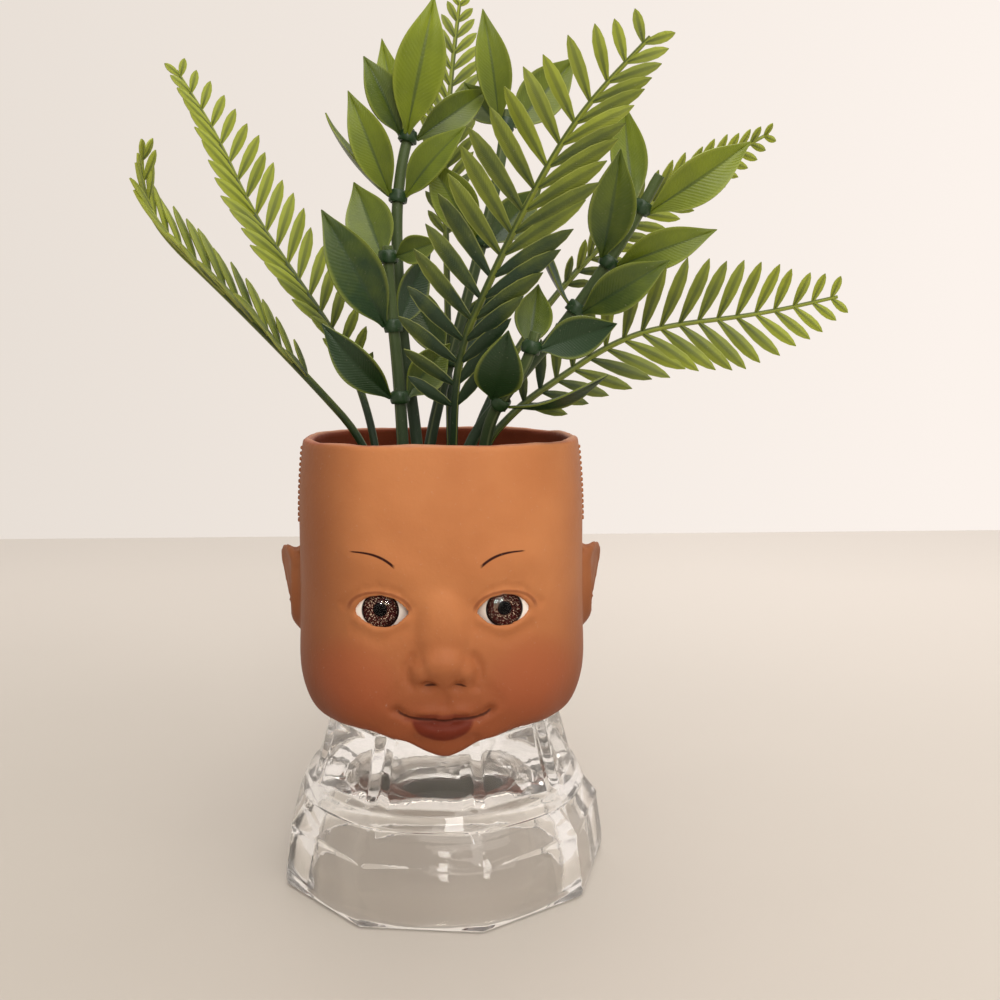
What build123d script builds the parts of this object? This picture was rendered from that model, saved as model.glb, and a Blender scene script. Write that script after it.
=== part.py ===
from build123d import *
import math
import os

# A doll-head planter. A hollow vinyl doll head, cut open above the forehead, stands on an
# upturned pressed-glass bowl. A block of dry foam inside the head holds plastic greenery.
# Millimetres. +Z is up, the face looks towards -Y, and the origin is on the table under
# the middle of the glass.

# Glass stand: an upturned bowl with flat panels round its lower half
panel_count = 9
panel_turn = 14.0
base_radius = 53.0
stand_height = 52.5
foot_radius = 37.2
foot_edge_radius = 1.4
rim_wall = 4.4
rim_bevel = 1.2
glass_floor = 14.5
seat_depth = 2.0

# Head shell: soft vinyl, open at the top and at the neck
head_half_width = 44.8
head_depth = 90.0
head_height = 87.1
head_shift = 0.5
shell_wall = 3.4
neck_radius = 25.0
neck_wall = 3.6
neck_clearance = 0.4
seat_gap = 0.3
floor_height = 6.1
floor_radius = 31.0
face_roundness = 2.4
ear_level = 37.5
ear_height = 28.0
ear_depth = 17.0
ear_reach = 6.0
nose_level = 25.1
nose_width = 19.5
nose_reach = 5.8
mouth_level = 8.4
mouth_width = 25.5
lip_thickness = 3.6
chin_width = 22.0
chin_drop = 2.2
chin_size = 5.3

# Eyes: half-round eyes pressed into pockets behind the lids
eye_spacing = 35.5
eye_height = 39.7
eye_radius = 9.2
eye_length = 6.0
eye_dome = 3.4
eye_yaw = 16.0
lid_depth = 2.6
lid_opening_width = 15.6
lid_opening_height = 8.9
iris_radius = 5.5
iris_depth = 2.2
iris_thickness = 0.7
lid_gap = 0.3
socket_wall = 1.6
socket_length = 7.0

# Foam block that the stems are pushed into
foam_radius = 37.0
foam_foot_radius = 28.5
foam_height = 67.0
foam_gap = 0.3
peg_depth = 18.0
peg_rise = 8.0

# Fern fronds
plant_spread = 100.0
plant_height = 140.0
rachis_radius = 1.1
leaflet_length = 24.0
leaflet_width = 4.8
leaflet_thickness = 0.8

# Broad-leaf sprigs
stem_radius = 1.9
hub_clearance = 0.2
hub_wall = 1.1
hub_height = 5.0
leaf_width = 14.0
leaf_thickness = 0.9
petiole_width = 1.8

cut_overrun = 10.0

# Radius and height of the round upper body of the glass, as shares of base_radius and
# stand_height, from the table up
bell_shares = [(1.2, 0.0), (0.98, 0.36), (0.83, 0.58), (0.755, 0.78)]
# Corner radius and height of the flat panels, in the same shares
panel_shares = [(1.0, 0.10), (0.985, 0.2), (0.955, 0.38), (0.845, 0.58), (0.80, 0.80), (0.79, 1.05)]
# Radius and height of the hollow, as shares of the hollow's own mouth radius and height
hollow_shares = [(0.97, 0.22), (0.84, 0.62), (0.5, 0.93)]

# Head outline, one row for each section from the neck up: height at the front and at the
# back, half width, reach to the front and to the back. Heights are shares of head_height
# above the top of the glass, widths of head_half_width, reaches of head_depth. The last row
# stands past the rim, where the head is cut, and keeps the walls below it straight.
head_shares = [
    (0.032, 0.046, 0.61, 0.31, 0.305),
    (0.026, 0.052, 0.76, 0.435, 0.345),
    (0.018, 0.100, 0.84, 0.480, 0.385),
    (0.036, 0.155, 0.915, 0.508, 0.425),
    (0.075, 0.224, 0.970, 0.515, 0.460),
    (0.135, 0.304, 1.000, 0.516, 0.486),
    (0.247, 0.408, 1.000, 0.506, 0.505),
    (0.385, 0.522, 0.995, 0.489, 0.512),
    (0.522, 0.637, 0.992, 0.497, 0.510),
    (0.640, 0.735, 0.990, 0.505, 0.504),
    (0.760, 0.830, 0.986, 0.503, 0.497),
    (0.880, 0.920, 0.981, 0.493, 0.487),
    (1.000, 1.000, 0.974, 0.479, 0.475),
    (1.120, 1.100, 0.965, 0.460, 0.460),
]
first_wall_row = 4
outline_points = 20

# Lumps of the face: the middle of each across, out from the skull and up, then its half
# sizes the same way. The nose takes shares of its width and reach, the lips of the mouth's
# width and the lips' thickness, the ear's two of its reach, depth and height.
nose_shares = [
    (0.0, -0.42, 1.5, 0.4, 0.75, 2.6),
    (0.0, -0.22, 0.0, 0.33, 1.0, 0.95),
    (-0.29, -0.42, -0.35, 0.21, 0.72, 0.6),
    (0.29, -0.42, -0.35, 0.21, 0.72, 0.6),
]
lip_shares = [
    (0.0, -0.75, 0.71, 0.5, 1.0, 0.8),
    (0.0, -0.70, -0.69, 0.38, 1.0, 0.9),
]
chin_out_share = -0.83
head_ear_share = 0.05
ear_shares = (-0.1, 0.1, 0.0, 1.0, 0.5, 0.5)
scoop_shares = (0.75, 0.22, 0.0, 0.5, 0.26, 0.3)

# Fern fronds. Each has its path in shares of plant_spread to the side and back and of
# plant_height above the rim, the first point being where it enters the foam, then its
# pairs of leaflets, the share of its path below the first leaflet, its roll, the fold of its
# two sides, the sweep of the left and right leaflets, and their length as a share.
frond_shares = {
    "fern_far_left": (
        [(-0.212, 0.01, 0), (-0.425, -0.04, 0.138), (-0.651, -0.10, 0.311), (-0.81, -0.15, 0.424),
         (-0.848, -0.18, 0.505), (-0.84, -0.20, 0.575)],
        15, 0.26, 74, 30, 30, 30, 0.9),
    "fern_left": (
        [(-0.205, 0.10, 0), (-0.283, 0.16, 0.148), (-0.387, 0.20, 0.267), (-0.506, 0.25, 0.389),
         (-0.631, 0.30, 0.523), (-0.737, 0.34, 0.693), (-0.87, 0.38, 0.845)],
        19, 0.14, 32, 32, 38, 48, 0.8),
    "fern_top": (
        [(0.03, 0.20, 0), (0.024, 0.28, 0.308), (0.017, 0.36, 0.644), (0.048, 0.42, 0.888),
         (0.074, 0.455, 1.03)],
        15, 0.46, 10, 15, 42, 42, 0.66),
    "fern_front": (
        [(0.033, -0.17, 0), (0.046, -0.25, 0.17), (0.132, -0.31, 0.311), (0.225, -0.36, 0.447),
         (0.317, -0.40, 0.566), (0.407, -0.43, 0.656), (0.555, -0.455, 0.764)],
        18, 0.10, -8, 12, 60, 34, 1.15),
    "fern_right": (
        [(0.12, 0.04, 0), (0.253, 0.06, 0.061), (0.383, 0.08, 0.123), (0.545, 0.10, 0.199),
         (0.711, 0.12, 0.242), (1.046, 0.14, 0.27), (1.31, 0.14, 0.312)],
        18, 0.14, 0, 14, 60, 52, 0.98),
    "fern_back": (
        [(0.079, 0.13, 0), (0.265, 0.24, 0.211), (0.507, 0.33, 0.417), (0.754, 0.40, 0.566),
         (0.969, 0.45, 0.656), (1.17, 0.50, 0.735)],
        16, 0.40, 26, 20, 44, 44, 0.66),
}

# Leaf sprigs. Each has its stem's path in the same shares as the fronds, and its whorls:
# the run of the path that carries the whorl, the share along it, and for each leaf its tip
# in those shares, its width as a share of leaf_width and its roll.
sprig_shares = {
    "sprig_left": (
        [(-0.116, -0.08, 0), (-0.131, -0.10, 0.16), (-0.151, -0.10, 0.30), (-0.156, -0.10, 0.405)],
        [(0, 0.62, [((-0.35, -0.15, 0.24), 0.85, -20), ((0.03, -0.02, 0.20), 0.9, 20)]),
         (1, 0.55, [((-0.34, -0.19, 0.47), 1.1, 5), ((-0.03, 0.02, 0.40), 0.8, 30)]),
         (2, 0.78, [((-0.262, 0.02, 0.55), 1.05, 0), ((0.0, -0.17, 0.41), 0.6, 0)])]),
    "sprig_centre_left": (
        [(-0.07, 0.0, 0), (-0.123, 0.02, 0.23), (-0.137, 0.035, 0.46), (-0.12, 0.05, 0.585),
         (-0.09, 0.06, 0.67)],
        [(2, 0.5, [((-0.35, 0.08, 0.705), 0.75, 75), ((-0.272, -0.02, 0.735), 0.85, 0),
                   ((0.08, -0.05, 0.66), 0.85, -25)]),
         (3, 0.8, [((-0.225, 0.0, 0.81), 0.85, 10), ((-0.177, 0.14, 0.876), 0.7, 0),
                   ((-0.012, -0.02, 0.93), 1.1, 0), ((0.16, 0.12, 0.77), 0.75, 10)])]),
    "sprig_centre": (
        [(-0.052, 0.08, 0), (0.085, 0.09, 0.30), (0.186, 0.10, 0.566), (0.215, 0.11, 0.72)],
        [(0, 0.6, [((-0.12, 0.19, 0.36), 0.9, 0), ((0.20, 0.18, 0.34), 0.9, 0)]),
         (1, 0.5, [((-0.035, 0.02, 0.60), 1.0, 0), ((0.33, 0.18, 0.56), 0.9, 0)]),
         (2, 0.8, [((0.135, 0.04, 0.92), 0.8, 10), ((0.44, 0.17, 0.85), 1.05, 0),
                   ((0.08, 0.17, 0.79), 0.75, 0)])]),
    "sprig_right": (
        [(0.054, -0.05, 0), (0.25, -0.08, 0.135), (0.36, -0.095, 0.225), (0.46, -0.11, 0.325),
         (0.55, -0.13, 0.42), (0.65, -0.15, 0.55)],
        [(2, 0.5, [((0.67, -0.22, 0.37), 0.9, 0), ((0.273, -0.17, 0.463), 0.75, 72)]),
         (3, 0.5, [((0.517, -0.24, 0.59), 1.0, 0), ((0.81, -0.21, 0.434), 0.82, 0)]),
         (4, 0.5, [((0.552, -0.08, 0.71), 0.8, 0), ((0.912, -0.18, 0.617), 0.95, 10)])]),
    "sprig_low_right": (
        [(0.123, -0.17, 0), (0.148, -0.22, 0.05), (0.20, -0.275, 0.105), (0.248, -0.30, 0.16),
         (0.27, -0.31, 0.22)],
        [(1, 0.5, [((0.185, -0.42, 0.22), 1.0, 0), ((0.46, -0.42, 0.135), 0.7, 70)]),
         (3, 0.5, [((0.49, -0.38, 0.235), 0.85, -8), ((0.285, -0.22, 0.32), 0.8, 0)])]),
}

# Outline of one leaflet: length and half width as shares of its own length and width
leaflet_shares = [(0.0, 0.12), (0.25, 0.28), (0.6, 0.5), (0.84, 0.34), (1.0, 0.0)]
# Where the first and last leaflets stand, and how their length swells along the frond
first_leaflet_share = 0.02
last_leaflet_share = 0.98
least_swell_share = 0.32
swell_start_share = 0.14
# Belly and camber of a broad leaf, where its foot stands in the ring, and the room of a bend
leaf_belly_share = 0.45
leaf_camber_share = 0.07
hub_root_share = 0.8
bend_share = 0.35

sides = {"left": -1, "right": 1}
upright = (Align.CENTER, Align.CENTER, Align.MIN)
inwards = (Align.CENTER, Align.CENTER, Align.MAX)

# Places worked out from the sizes above
panel_step = 360 / panel_count
neck_bottom = stand_height - seat_depth
seat_radius = neck_radius + neck_clearance
hollow_radius = base_radius * math.cos(math.radians(panel_step / 2)) - rim_wall
hollow_height = neck_bottom - glass_floor + seat_gap
head_floor = stand_height + floor_height
rim_height = stand_height + head_height
foam_bottom = head_floor + foam_gap
foam_top = foam_bottom + foam_height
eye_apex = lid_gap - lid_depth


def panel_outline(radius, height):
    """One closed outline of the glass, a corner for each panel joint."""
    points = []
    for corner in range(panel_count):
        angle = math.radians(panel_turn + corner * panel_step - 90)
        points.append((radius * math.cos(angle), radius * math.sin(angle), height))
    return Wire.make_polygon([Vector(*point) for point in points], close=True)


def glass_bell():
    """The round body of the glass, from a profile turned round the axis."""
    rows = [Vector(r * base_radius, 0, h * stand_height) for r, h in bell_shares]
    shoulder = Vector(foot_radius, 0, stand_height - foot_edge_radius)
    edge = Vector(foot_radius - foot_edge_radius, 0, stand_height)
    with BuildPart() as bell:
        with BuildSketch(Plane.XZ):
            with BuildLine():
                Polyline((0, 0), (rows[0].X, rows[0].Z), (rows[1].X, rows[1].Z))
                Spline((rows[1].X, rows[1].Z), (rows[2].X, rows[2].Z), (rows[3].X, rows[3].Z),
                       (shoulder.X, shoulder.Z))
                Polyline((shoulder.X, shoulder.Z), (edge.X, edge.Z), (0, stand_height), (0, 0))
            make_face()
        revolve(axis=Axis.Z)
    return bell.part


def glass_panels():
    """The many-sided body whose flat panels cut the round one."""
    levels = [panel_outline(base_radius - rim_bevel, 0), panel_outline(base_radius, rim_bevel)]
    levels += [panel_outline(r * base_radius, h * stand_height) for r, h in panel_shares]
    return Solid.make_loft(levels, ruled=True)


def glass_hollow():
    """The hollow under the upturned bowl."""
    rows = [(r * hollow_radius, h * hollow_height) for r, h in hollow_shares]
    with BuildPart() as hollow:
        with BuildSketch(Plane.XZ):
            with BuildLine():
                Polyline((0, hollow_height), (0, -cut_overrun), (hollow_radius, -cut_overrun),
                         (hollow_radius, 0))
                Spline((hollow_radius, 0), *rows, (0, hollow_height), tangents=((0, 1), (-1, 0)))
            make_face()
        revolve(axis=Axis.Z)
    return hollow.part


def build_stand():
    """The pressed-glass stand, with a shallow round seat for the neck in its top."""
    seat_length = seat_depth + seat_gap + cut_overrun
    seat = Pos(0, 0, neck_bottom - seat_gap) * Cylinder(seat_radius, seat_length, align=upright)
    body = (Part() + glass_bell()) & (Part() + glass_panels())
    return body - glass_hollow() - seat


def head_outline(row, inset=0.0, lift=0.0):
    """One section of the head, a closed smooth curve on a plane that may lean."""
    front_h, back_h, width, front_y, back_y = row
    half_width = width * head_half_width - inset
    front = -front_y * head_depth + inset
    back = back_y * head_depth - inset
    middle = (front + back) / 2
    reach = (back - front) / 2
    low = stand_height + front_h * head_height + lift
    high = stand_height + back_h * head_height + lift
    points = []
    for step in range(outline_points):
        angle = 2 * math.pi * step / outline_points
        across = math.sin(angle)
        along = -math.cos(angle)
        x = half_width * math.copysign(abs(across) ** (2 / face_roundness), across)
        share = math.copysign(abs(along) ** (2 / face_roundness), along)
        y = middle + reach * share
        z = (low + high) / 2 + (high - low) / 2 * share
        points.append(Vector(x, y + head_shift, z))
    return Wire([Edge.make_spline(points, periodic=True)])


def blob(centre, radii):
    """A rounded lump: a unit ball stretched to three half sizes."""
    ball = Solid.make_sphere(1)
    stretch = Matrix([[radii[0], 0, 0, 0], [0, radii[1], 0, 0], [0, 0, radii[2], 0], [0, 0, 0, 1]])
    return Pos(*centre) * ball.transform_geometry(stretch)


def face_front(level):
    """Where the front of the skull is, at a level above the top of the glass."""
    rows = [(row[0] * head_height, row[3] * head_depth) for row in head_shares[first_wall_row:]]
    for (low, low_reach), (high, high_reach) in zip(rows, rows[1:]):
        if level <= high:
            break
    reach = low_reach + (high_reach - low_reach) * (level - low) / (high - low)
    return head_shift - reach


def lump(shares, middle, across, out, up):
    """One rounded lump, its shares taken of three sizes about a middle."""
    centre = (middle[0] + shares[0] * across, middle[1] - shares[1] * out, middle[2] + shares[2] * up)
    return blob(centre, (shares[3] * across, shares[4] * out, shares[5] * up))


def ear(side):
    """One ear, a rounded lump with a scooped hollow facing outwards and forwards."""
    middle = (side * head_half_width, head_depth * head_ear_share, stand_height + ear_level)
    body = lump(ear_shares, middle, side * ear_reach, ear_depth, ear_height)
    return body - lump(scoop_shares, middle, side * ear_reach, ear_depth, ear_height)


def nose():
    """Bridge, tip and two wings of the nose."""
    middle = (0, face_front(nose_level), stand_height + nose_level)
    return [lump(row, middle, nose_width, nose_reach, nose_reach) for row in nose_shares]


def mouth():
    """Upper lip, lower lip and chin."""
    middle = (0, face_front(mouth_level), stand_height + mouth_level)
    lips = [lump(row, middle, mouth_width, lip_thickness, lip_thickness) for row in lip_shares]
    chin_y = face_front(mouth_level) - chin_out_share * chin_size
    chin = blob((0, chin_y, stand_height - chin_drop + chin_size), (chin_width / 2, chin_size, chin_size))
    return lips + [chin]


def eye_place(side):
    """A plane at the middle of one eye on the face, its Z pointing out of the head."""
    yaw = math.radians(eye_yaw)
    half = eye_spacing / 2
    share = (1 - (half / head_half_width) ** face_roundness) ** (1 / face_roundness)
    surface = face_front(eye_height) * share
    outwards = (side * math.sin(yaw), -math.cos(yaw), 0)
    origin = (side * half, surface, stand_height + eye_height)
    return Plane(origin=origin, x_dir=(math.cos(yaw), side * math.sin(yaw), 0), z_dir=outwards)


def eye_pocket(side):
    """What is cut for one eye: the bore behind the lids and the opening between them."""
    place = eye_place(side)
    bore = Pos(0, 0, -lid_depth) * Cylinder(eye_radius, socket_length + cut_overrun, align=inwards)
    half_w = lid_opening_width / 2
    half_h = lid_opening_height / 2
    with BuildSketch() as gap:
        with BuildLine():
            ThreePointArc((-half_w, 0), (0, half_h), (half_w, 0))
            ThreePointArc((half_w, 0), (0, -half_h), (-half_w, 0))
        make_face()
    slot = Pos(0, 0, -lid_depth - lid_depth) * extrude(gap.sketch, lid_depth * 2 + cut_overrun)
    return place.location * (Part() + bore + slot)


def eye_socket(side):
    """The collar moulded inside the face that grips one eye."""
    radius = eye_radius + socket_wall
    collar = Pos(0, 0, socket_wall - lid_depth) * Cylinder(radius, socket_length + socket_wall, align=inwards)
    return eye_place(side).location * collar


def head_body():
    """The solid outside form of the head, before it is hollowed."""
    skull = Solid.make_loft([head_outline(row) for row in head_shares])
    lumps = [ear(side) for side in sides.values()] + nose() + mouth()
    return Part() + skull + lumps


def head_hollow():
    """The inside of the head, from its flat floor to past the cut rim."""
    flat_row = (0, 0, floor_radius / head_half_width, floor_radius / head_depth, floor_radius / head_depth)
    flat = head_outline(flat_row, 0, floor_height)
    walls = [head_outline(row, shell_wall, shell_wall) for row in head_shares[first_wall_row:]]
    return Solid.make_loft([flat] + walls)


def build_head():
    """The hollow vinyl head with its neck collar, sockets and lid openings."""
    hollow = head_hollow()
    outside = head_body()
    shell = outside - hollow
    for side in sides.values():
        shell = shell + (eye_socket(side) & (Part() + outside))
    neck_height = head_floor - neck_bottom
    shell = shell + Pos(0, 0, neck_bottom) * Cylinder(neck_radius, neck_height, align=upright)
    shell = shell - Pos(0, 0, neck_bottom - cut_overrun) * Cylinder(
        neck_radius - neck_wall, neck_height + cut_overrun * 2, align=upright)
    for side in sides.values():
        shell = shell - eye_pocket(side)
    above = Pos(0, 0, rim_height) * Box(head_half_width * 4, head_depth * 2, head_height, align=upright)
    return shell - above


def eye_ball():
    """One eye as a solid in its own frame: a skirt with a domed front."""
    ball_radius = (eye_radius ** 2 + eye_dome ** 2) / (2 * eye_dome)
    skirt = Pos(0, 0, -eye_length - lid_depth) * Cylinder(eye_radius, eye_length + eye_dome, align=upright)
    return skirt & Pos(0, 0, eye_apex - ball_radius) * Sphere(ball_radius)


def build_eye(side):
    """White, iris disc and clear front of one eye."""
    ball = eye_ball()
    seat = eye_apex - iris_depth
    well = Pos(0, 0, seat) * Cylinder(iris_radius, iris_depth + cut_overrun, align=upright)
    disc = Pos(0, 0, seat) * Cylinder(iris_radius, iris_thickness, align=upright)
    front = Pos(0, 0, seat + iris_thickness) * Cylinder(iris_radius, iris_depth + cut_overrun, align=upright)
    place = eye_place(side).location
    return {"white": place * (ball - well), "iris": place * disc, "lens": place * (ball & front)}


def plant_point(shares):
    """A point of the greenery from its shares."""
    x, y, z = shares
    return Vector(x * plant_spread, y * plant_spread, rim_height + z * plant_height)


def stem_points(path):
    """Points of a stem: straight down in the foam, then along its path."""
    entry = plant_point(path[0])
    start = Vector(entry.X, entry.Y, foam_top - peg_depth)
    leave = Vector(entry.X, entry.Y, foam_top + peg_rise)
    return [start, leave] + [plant_point(point) for point in path[1:]]


def stem_line(points):
    """Straight runs joined by arcs as large as the runs allow."""
    radii = []
    room = bend_share * peg_rise * 2
    for before, here, after in zip(points, points[1:], points[2:]):
        turn = math.radians((here - before).get_angle(after - here))
        room = min(room, bend_share * (after - here).length)
        radii.append(room / math.tan(turn / 2))
        room = bend_share * (after - here).length
    return FilletPolyline(*points, radius=radii)


def stem_tube(points, radius):
    """A round stem along a line of points."""
    line = stem_line(points)
    section = Plane(origin=line @ 0, z_dir=line % 0) * Circle(radius)
    return sweep(section, path=line)


def leaflet(length, width):
    """One flat leaflet in its own frame, pointing along X."""
    upper = [(a * length, b * width) for a, b in leaflet_shares]
    lower = [(x, -y) for x, y in reversed(upper[:-1])]
    face = make_face(Polyline(*upper, *lower, close=True))
    return extrude(face, leaflet_thickness / 2, both=True)


def facing(direction, roll):
    """The direction that a leaf's upper side faces: towards the viewer, then rolled."""
    towards = Vector(0, -1, 0)
    towards = (towards - direction * towards.dot(direction)).normalized()
    across = direction.cross(towards)
    turn = math.radians(roll)
    return towards * math.cos(turn) + across * math.sin(turn)


def frond_leaflets(points, pairs, bare, roll, fold, sweep_left, sweep_right, size):
    """All leaflets of one frond, in pairs along the path."""
    line = Polyline(*points)
    leaves = []
    for number in range(pairs):
        share = number / (pairs - 1)
        spread_share = first_leaflet_share + (last_leaflet_share - first_leaflet_share) * share
        along = bare + (1 - bare) * spread_share
        place = line @ along
        heading = (line % along).normalized()
        up = facing(heading, roll)
        across = heading.cross(up)
        rise = math.sin(math.pi * (swell_start_share + (1 - swell_start_share) * share))
        length = leaflet_length * size * (least_swell_share + (1 - least_swell_share) * rise)
        for side, sweep_angle in ((-1, sweep_left), (1, sweep_right)):
            lean = math.radians(sweep_angle)
            tilt = math.radians(fold)
            outwards = across * (side * math.cos(tilt)) + up * math.sin(tilt)
            course = heading * math.cos(lean) + outwards * math.sin(lean)
            flat = Plane(origin=place, x_dir=course, z_dir=(up - course * up.dot(course)).normalized())
            leaves.append(flat.location * leaflet(length, leaflet_width))
    return leaves


def build_frond(name):
    """One moulded fern frond."""
    path, pairs, bare, roll, fold, sweep_left, sweep_right, size = frond_shares[name]
    points = stem_points(path)
    tube = stem_tube(points, rachis_radius)
    leaf_path = points[1:]
    leaves = frond_leaflets(leaf_path, pairs, bare, roll, fold, sweep_left, sweep_right, size)
    return tube + leaves


def leaf(base, tip, width, roll, away):
    """One broad leaf: a pointed outline cut from a sheet that bends away from its stem."""
    course = tip - base
    length = course.length
    upper = facing(course.normalized(), roll)
    camber = math.copysign(leaf_camber_share * length, upper.dot(away))
    half = petiole_width / 2
    with BuildSketch() as outline:
        with BuildLine():
            Line((0, -half), (0, half))
            ThreePointArc((0, half), (leaf_belly_share * length, width / 2), (length, 0))
            ThreePointArc((length, 0), (leaf_belly_share * length, -width / 2), (0, -half))
        make_face()
    with BuildSketch(Plane.XZ) as bend:
        with BuildLine():
            ThreePointArc((0, 0), (length / 2, camber), (length, 0))
            Line((length, 0), (length, leaf_thickness))
            ThreePointArc((length, leaf_thickness), (length / 2, camber + leaf_thickness),
                          (0, leaf_thickness))
            Line((0, leaf_thickness), (0, 0))
        make_face()
    block = extrude(outline.sketch, length, both=True)
    sheet = extrude(bend.sketch, width, both=True)
    place = Plane(origin=base, x_dir=course.normalized(), z_dir=upper)
    return place.location * (block & sheet)


def build_whorl(points, run, share, leaves):
    """A ring pushed on the stem with its leaves moulded to it."""
    low = points[run + 1]
    high = points[run + 2]
    axis = (high - low).normalized()
    middle = low + (high - low) * share
    bore = stem_radius + hub_clearance
    ring = Cylinder(bore + hub_wall, hub_height) - Cylinder(bore, hub_height + cut_overrun)
    whorl = Plane(origin=middle, z_dir=axis).location * ring
    for tip_shares, width_share, roll in leaves:
        tip = plant_point(tip_shares)
        away = tip - middle
        away = (away - axis * away.dot(axis)).normalized()
        base = middle + away * (bore + hub_wall * hub_root_share)
        whorl = whorl + leaf(base, tip, leaf_width * width_share, roll, away)
    return whorl


def build_foam(stems):
    """The foam block, with a hole for the straight end of each stem."""
    block = Pos(0, 0, foam_bottom) * Cone(foam_foot_radius, foam_radius, foam_height, align=upright)
    for entry, radius in stems:
        hole = Cylinder(radius, peg_depth + cut_overrun, align=upright)
        block = block - Pos(entry.X, entry.Y, foam_top - peg_depth) * hole
    return block


def write(name, shape):
    """One STEP file for each piece."""
    solids = shape.solids()
    print(name, len(solids), round(sum(solid.volume for solid in solids), 1))
    export_step(shape, "parts/" + name + ".step")


os.makedirs("parts", exist_ok=True)
write("glass_stand", build_stand())
write("head_shell", build_head())
for side_name, side in sides.items():
    for piece, shape in build_eye(side).items():
        write(side_name + "_eye_" + piece, shape)

stems = []
for name in frond_shares:
    stems.append((plant_point(frond_shares[name][0][0]), rachis_radius))
    write(name, build_frond(name))

for name, (path, whorls) in sprig_shares.items():
    points = stem_points(path)
    stems.append((points[0], stem_radius))
    write(name + "_stem", stem_tube(points, stem_radius))
    for number, (run, share, leaves) in enumerate(whorls, start=1):
        write(name + "_leaves_" + str(number), build_whorl(points, run, share, leaves))

write("foam_block", build_foam(stems))
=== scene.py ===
# %% [markdown]
# A head planter: an open vinyl doll head on an upturned pressed-glass bowl, planted with
# plastic ferns and leaf sprigs. The imported model comes first, as a fixed frame in metres.
# Every piece below is modelled around it, in the same place and size, so nothing is fitted
# afterwards.

# %% Load the frame
import math
import random

import bpy
from mathutils import Matrix, Vector
from mathutils.noise import noise


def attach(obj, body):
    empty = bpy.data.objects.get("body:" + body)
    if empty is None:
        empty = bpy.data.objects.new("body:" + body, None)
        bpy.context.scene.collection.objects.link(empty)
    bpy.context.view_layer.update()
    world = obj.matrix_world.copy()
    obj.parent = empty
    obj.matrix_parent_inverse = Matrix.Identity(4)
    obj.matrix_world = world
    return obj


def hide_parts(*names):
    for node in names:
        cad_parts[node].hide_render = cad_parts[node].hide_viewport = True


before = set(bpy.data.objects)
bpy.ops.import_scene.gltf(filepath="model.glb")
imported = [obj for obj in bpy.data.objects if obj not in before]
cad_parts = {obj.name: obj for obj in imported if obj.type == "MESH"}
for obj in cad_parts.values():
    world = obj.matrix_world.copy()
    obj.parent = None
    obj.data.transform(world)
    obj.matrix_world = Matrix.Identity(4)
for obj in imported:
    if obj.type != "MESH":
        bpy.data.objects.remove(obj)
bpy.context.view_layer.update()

MM = 0.001
print("nodes in the frame:", len(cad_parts))

# %% [markdown]
# The camera stands where the photographer stood. One lens could be tried after another until
# the picture looks right, but it is surer to work out the place: the size of the head and the
# height at which its rim shows as a thin ellipse give the distance, the height and the pitch.

# %% Camera
CAMERA_PLACE = Vector((0.0, -332 * MM, 162 * MM))
CAMERA_PITCH = 7.5
CAMERA_YAW = 3.2
CAMERA_LENS = 37.8


def make_camera():
    """A camera looking along +Y, turned a little down and to the right."""
    bpy.ops.object.camera_add(location=CAMERA_PLACE)
    camera = bpy.context.object
    camera.rotation_euler = (math.radians(90 - CAMERA_PITCH), 0, math.radians(-CAMERA_YAW))
    camera.data.lens = CAMERA_LENS
    camera.data.sensor_width = 36
    camera.data.clip_start = 0.01
    bpy.context.scene.camera = camera
    return camera


camera = make_camera()
print("camera at", [round(value, 3) for value in camera.location])

# %% [markdown]
# Small tools for modelling by operator. An operator acts on all that is selected, and a
# loaded frame leaves its nodes selected, so each tool starts by clearing the selection. Faces
# and vertices are chosen by their place, which works without a mouse and a window.

# %% Modelling tools
DOUBLES = 0.01 * MM


def deselect():
    """Nothing selected and no edit mode left open."""
    if bpy.context.object and bpy.context.object.mode != "OBJECT":
        bpy.ops.object.mode_set(mode="OBJECT")
    bpy.ops.object.select_all(action="DESELECT")


def add(operator, **settings):
    """The piece that an operator adds to the scene."""
    deselect()
    operator(**settings)
    return bpy.context.object


def activate(piece):
    """One piece selected and active."""
    deselect()
    piece.select_set(True)
    bpy.context.view_layer.objects.active = piece


def pick(piece, chosen):
    """Edit mode on a piece with the vertices selected that a test on their place chooses."""
    activate(piece)
    mesh = piece.data
    mesh.vertices.foreach_set("select", [bool(chosen(vertex.co)) for vertex in mesh.vertices])
    mesh.edges.foreach_set("select", [False] * len(mesh.edges))
    mesh.polygons.foreach_set("select", [False] * len(mesh.polygons))
    bpy.ops.object.mode_set(mode="EDIT")
    bpy.ops.mesh.select_mode(type="VERT")


def modify(piece, kind, **settings):
    """One modifier, set and applied."""
    activate(piece)
    modifier = piece.modifiers.new(kind.lower(), kind)
    for key, value in settings.items():
        setattr(modifier, key, value)
    bpy.ops.object.modifier_apply(modifier=modifier.name)


def settle(piece):
    """The piece's place goes into its mesh, so that its object sits at the origin."""
    activate(piece)
    bpy.ops.object.transform_apply(location=True, rotation=True, scale=True)


def outward(piece, merge=True):
    """Doubles merged, where that is wanted, and all faces turned outwards."""
    activate(piece)
    bpy.ops.object.mode_set(mode="EDIT")
    bpy.ops.mesh.select_all(action="SELECT")
    if merge:
        bpy.ops.mesh.remove_doubles(threshold=DOUBLES)
    bpy.ops.mesh.normals_make_consistent(inside=False)
    bpy.ops.object.mode_set(mode="OBJECT")


def join(pieces, name):
    """Several meshes made one, under a name."""
    deselect()
    for piece in pieces:
        piece.select_set(True)
    bpy.context.view_layer.objects.active = pieces[0]
    bpy.ops.object.join()
    pieces[0].name = name
    pieces[0].data.name = name
    return pieces[0]


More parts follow.
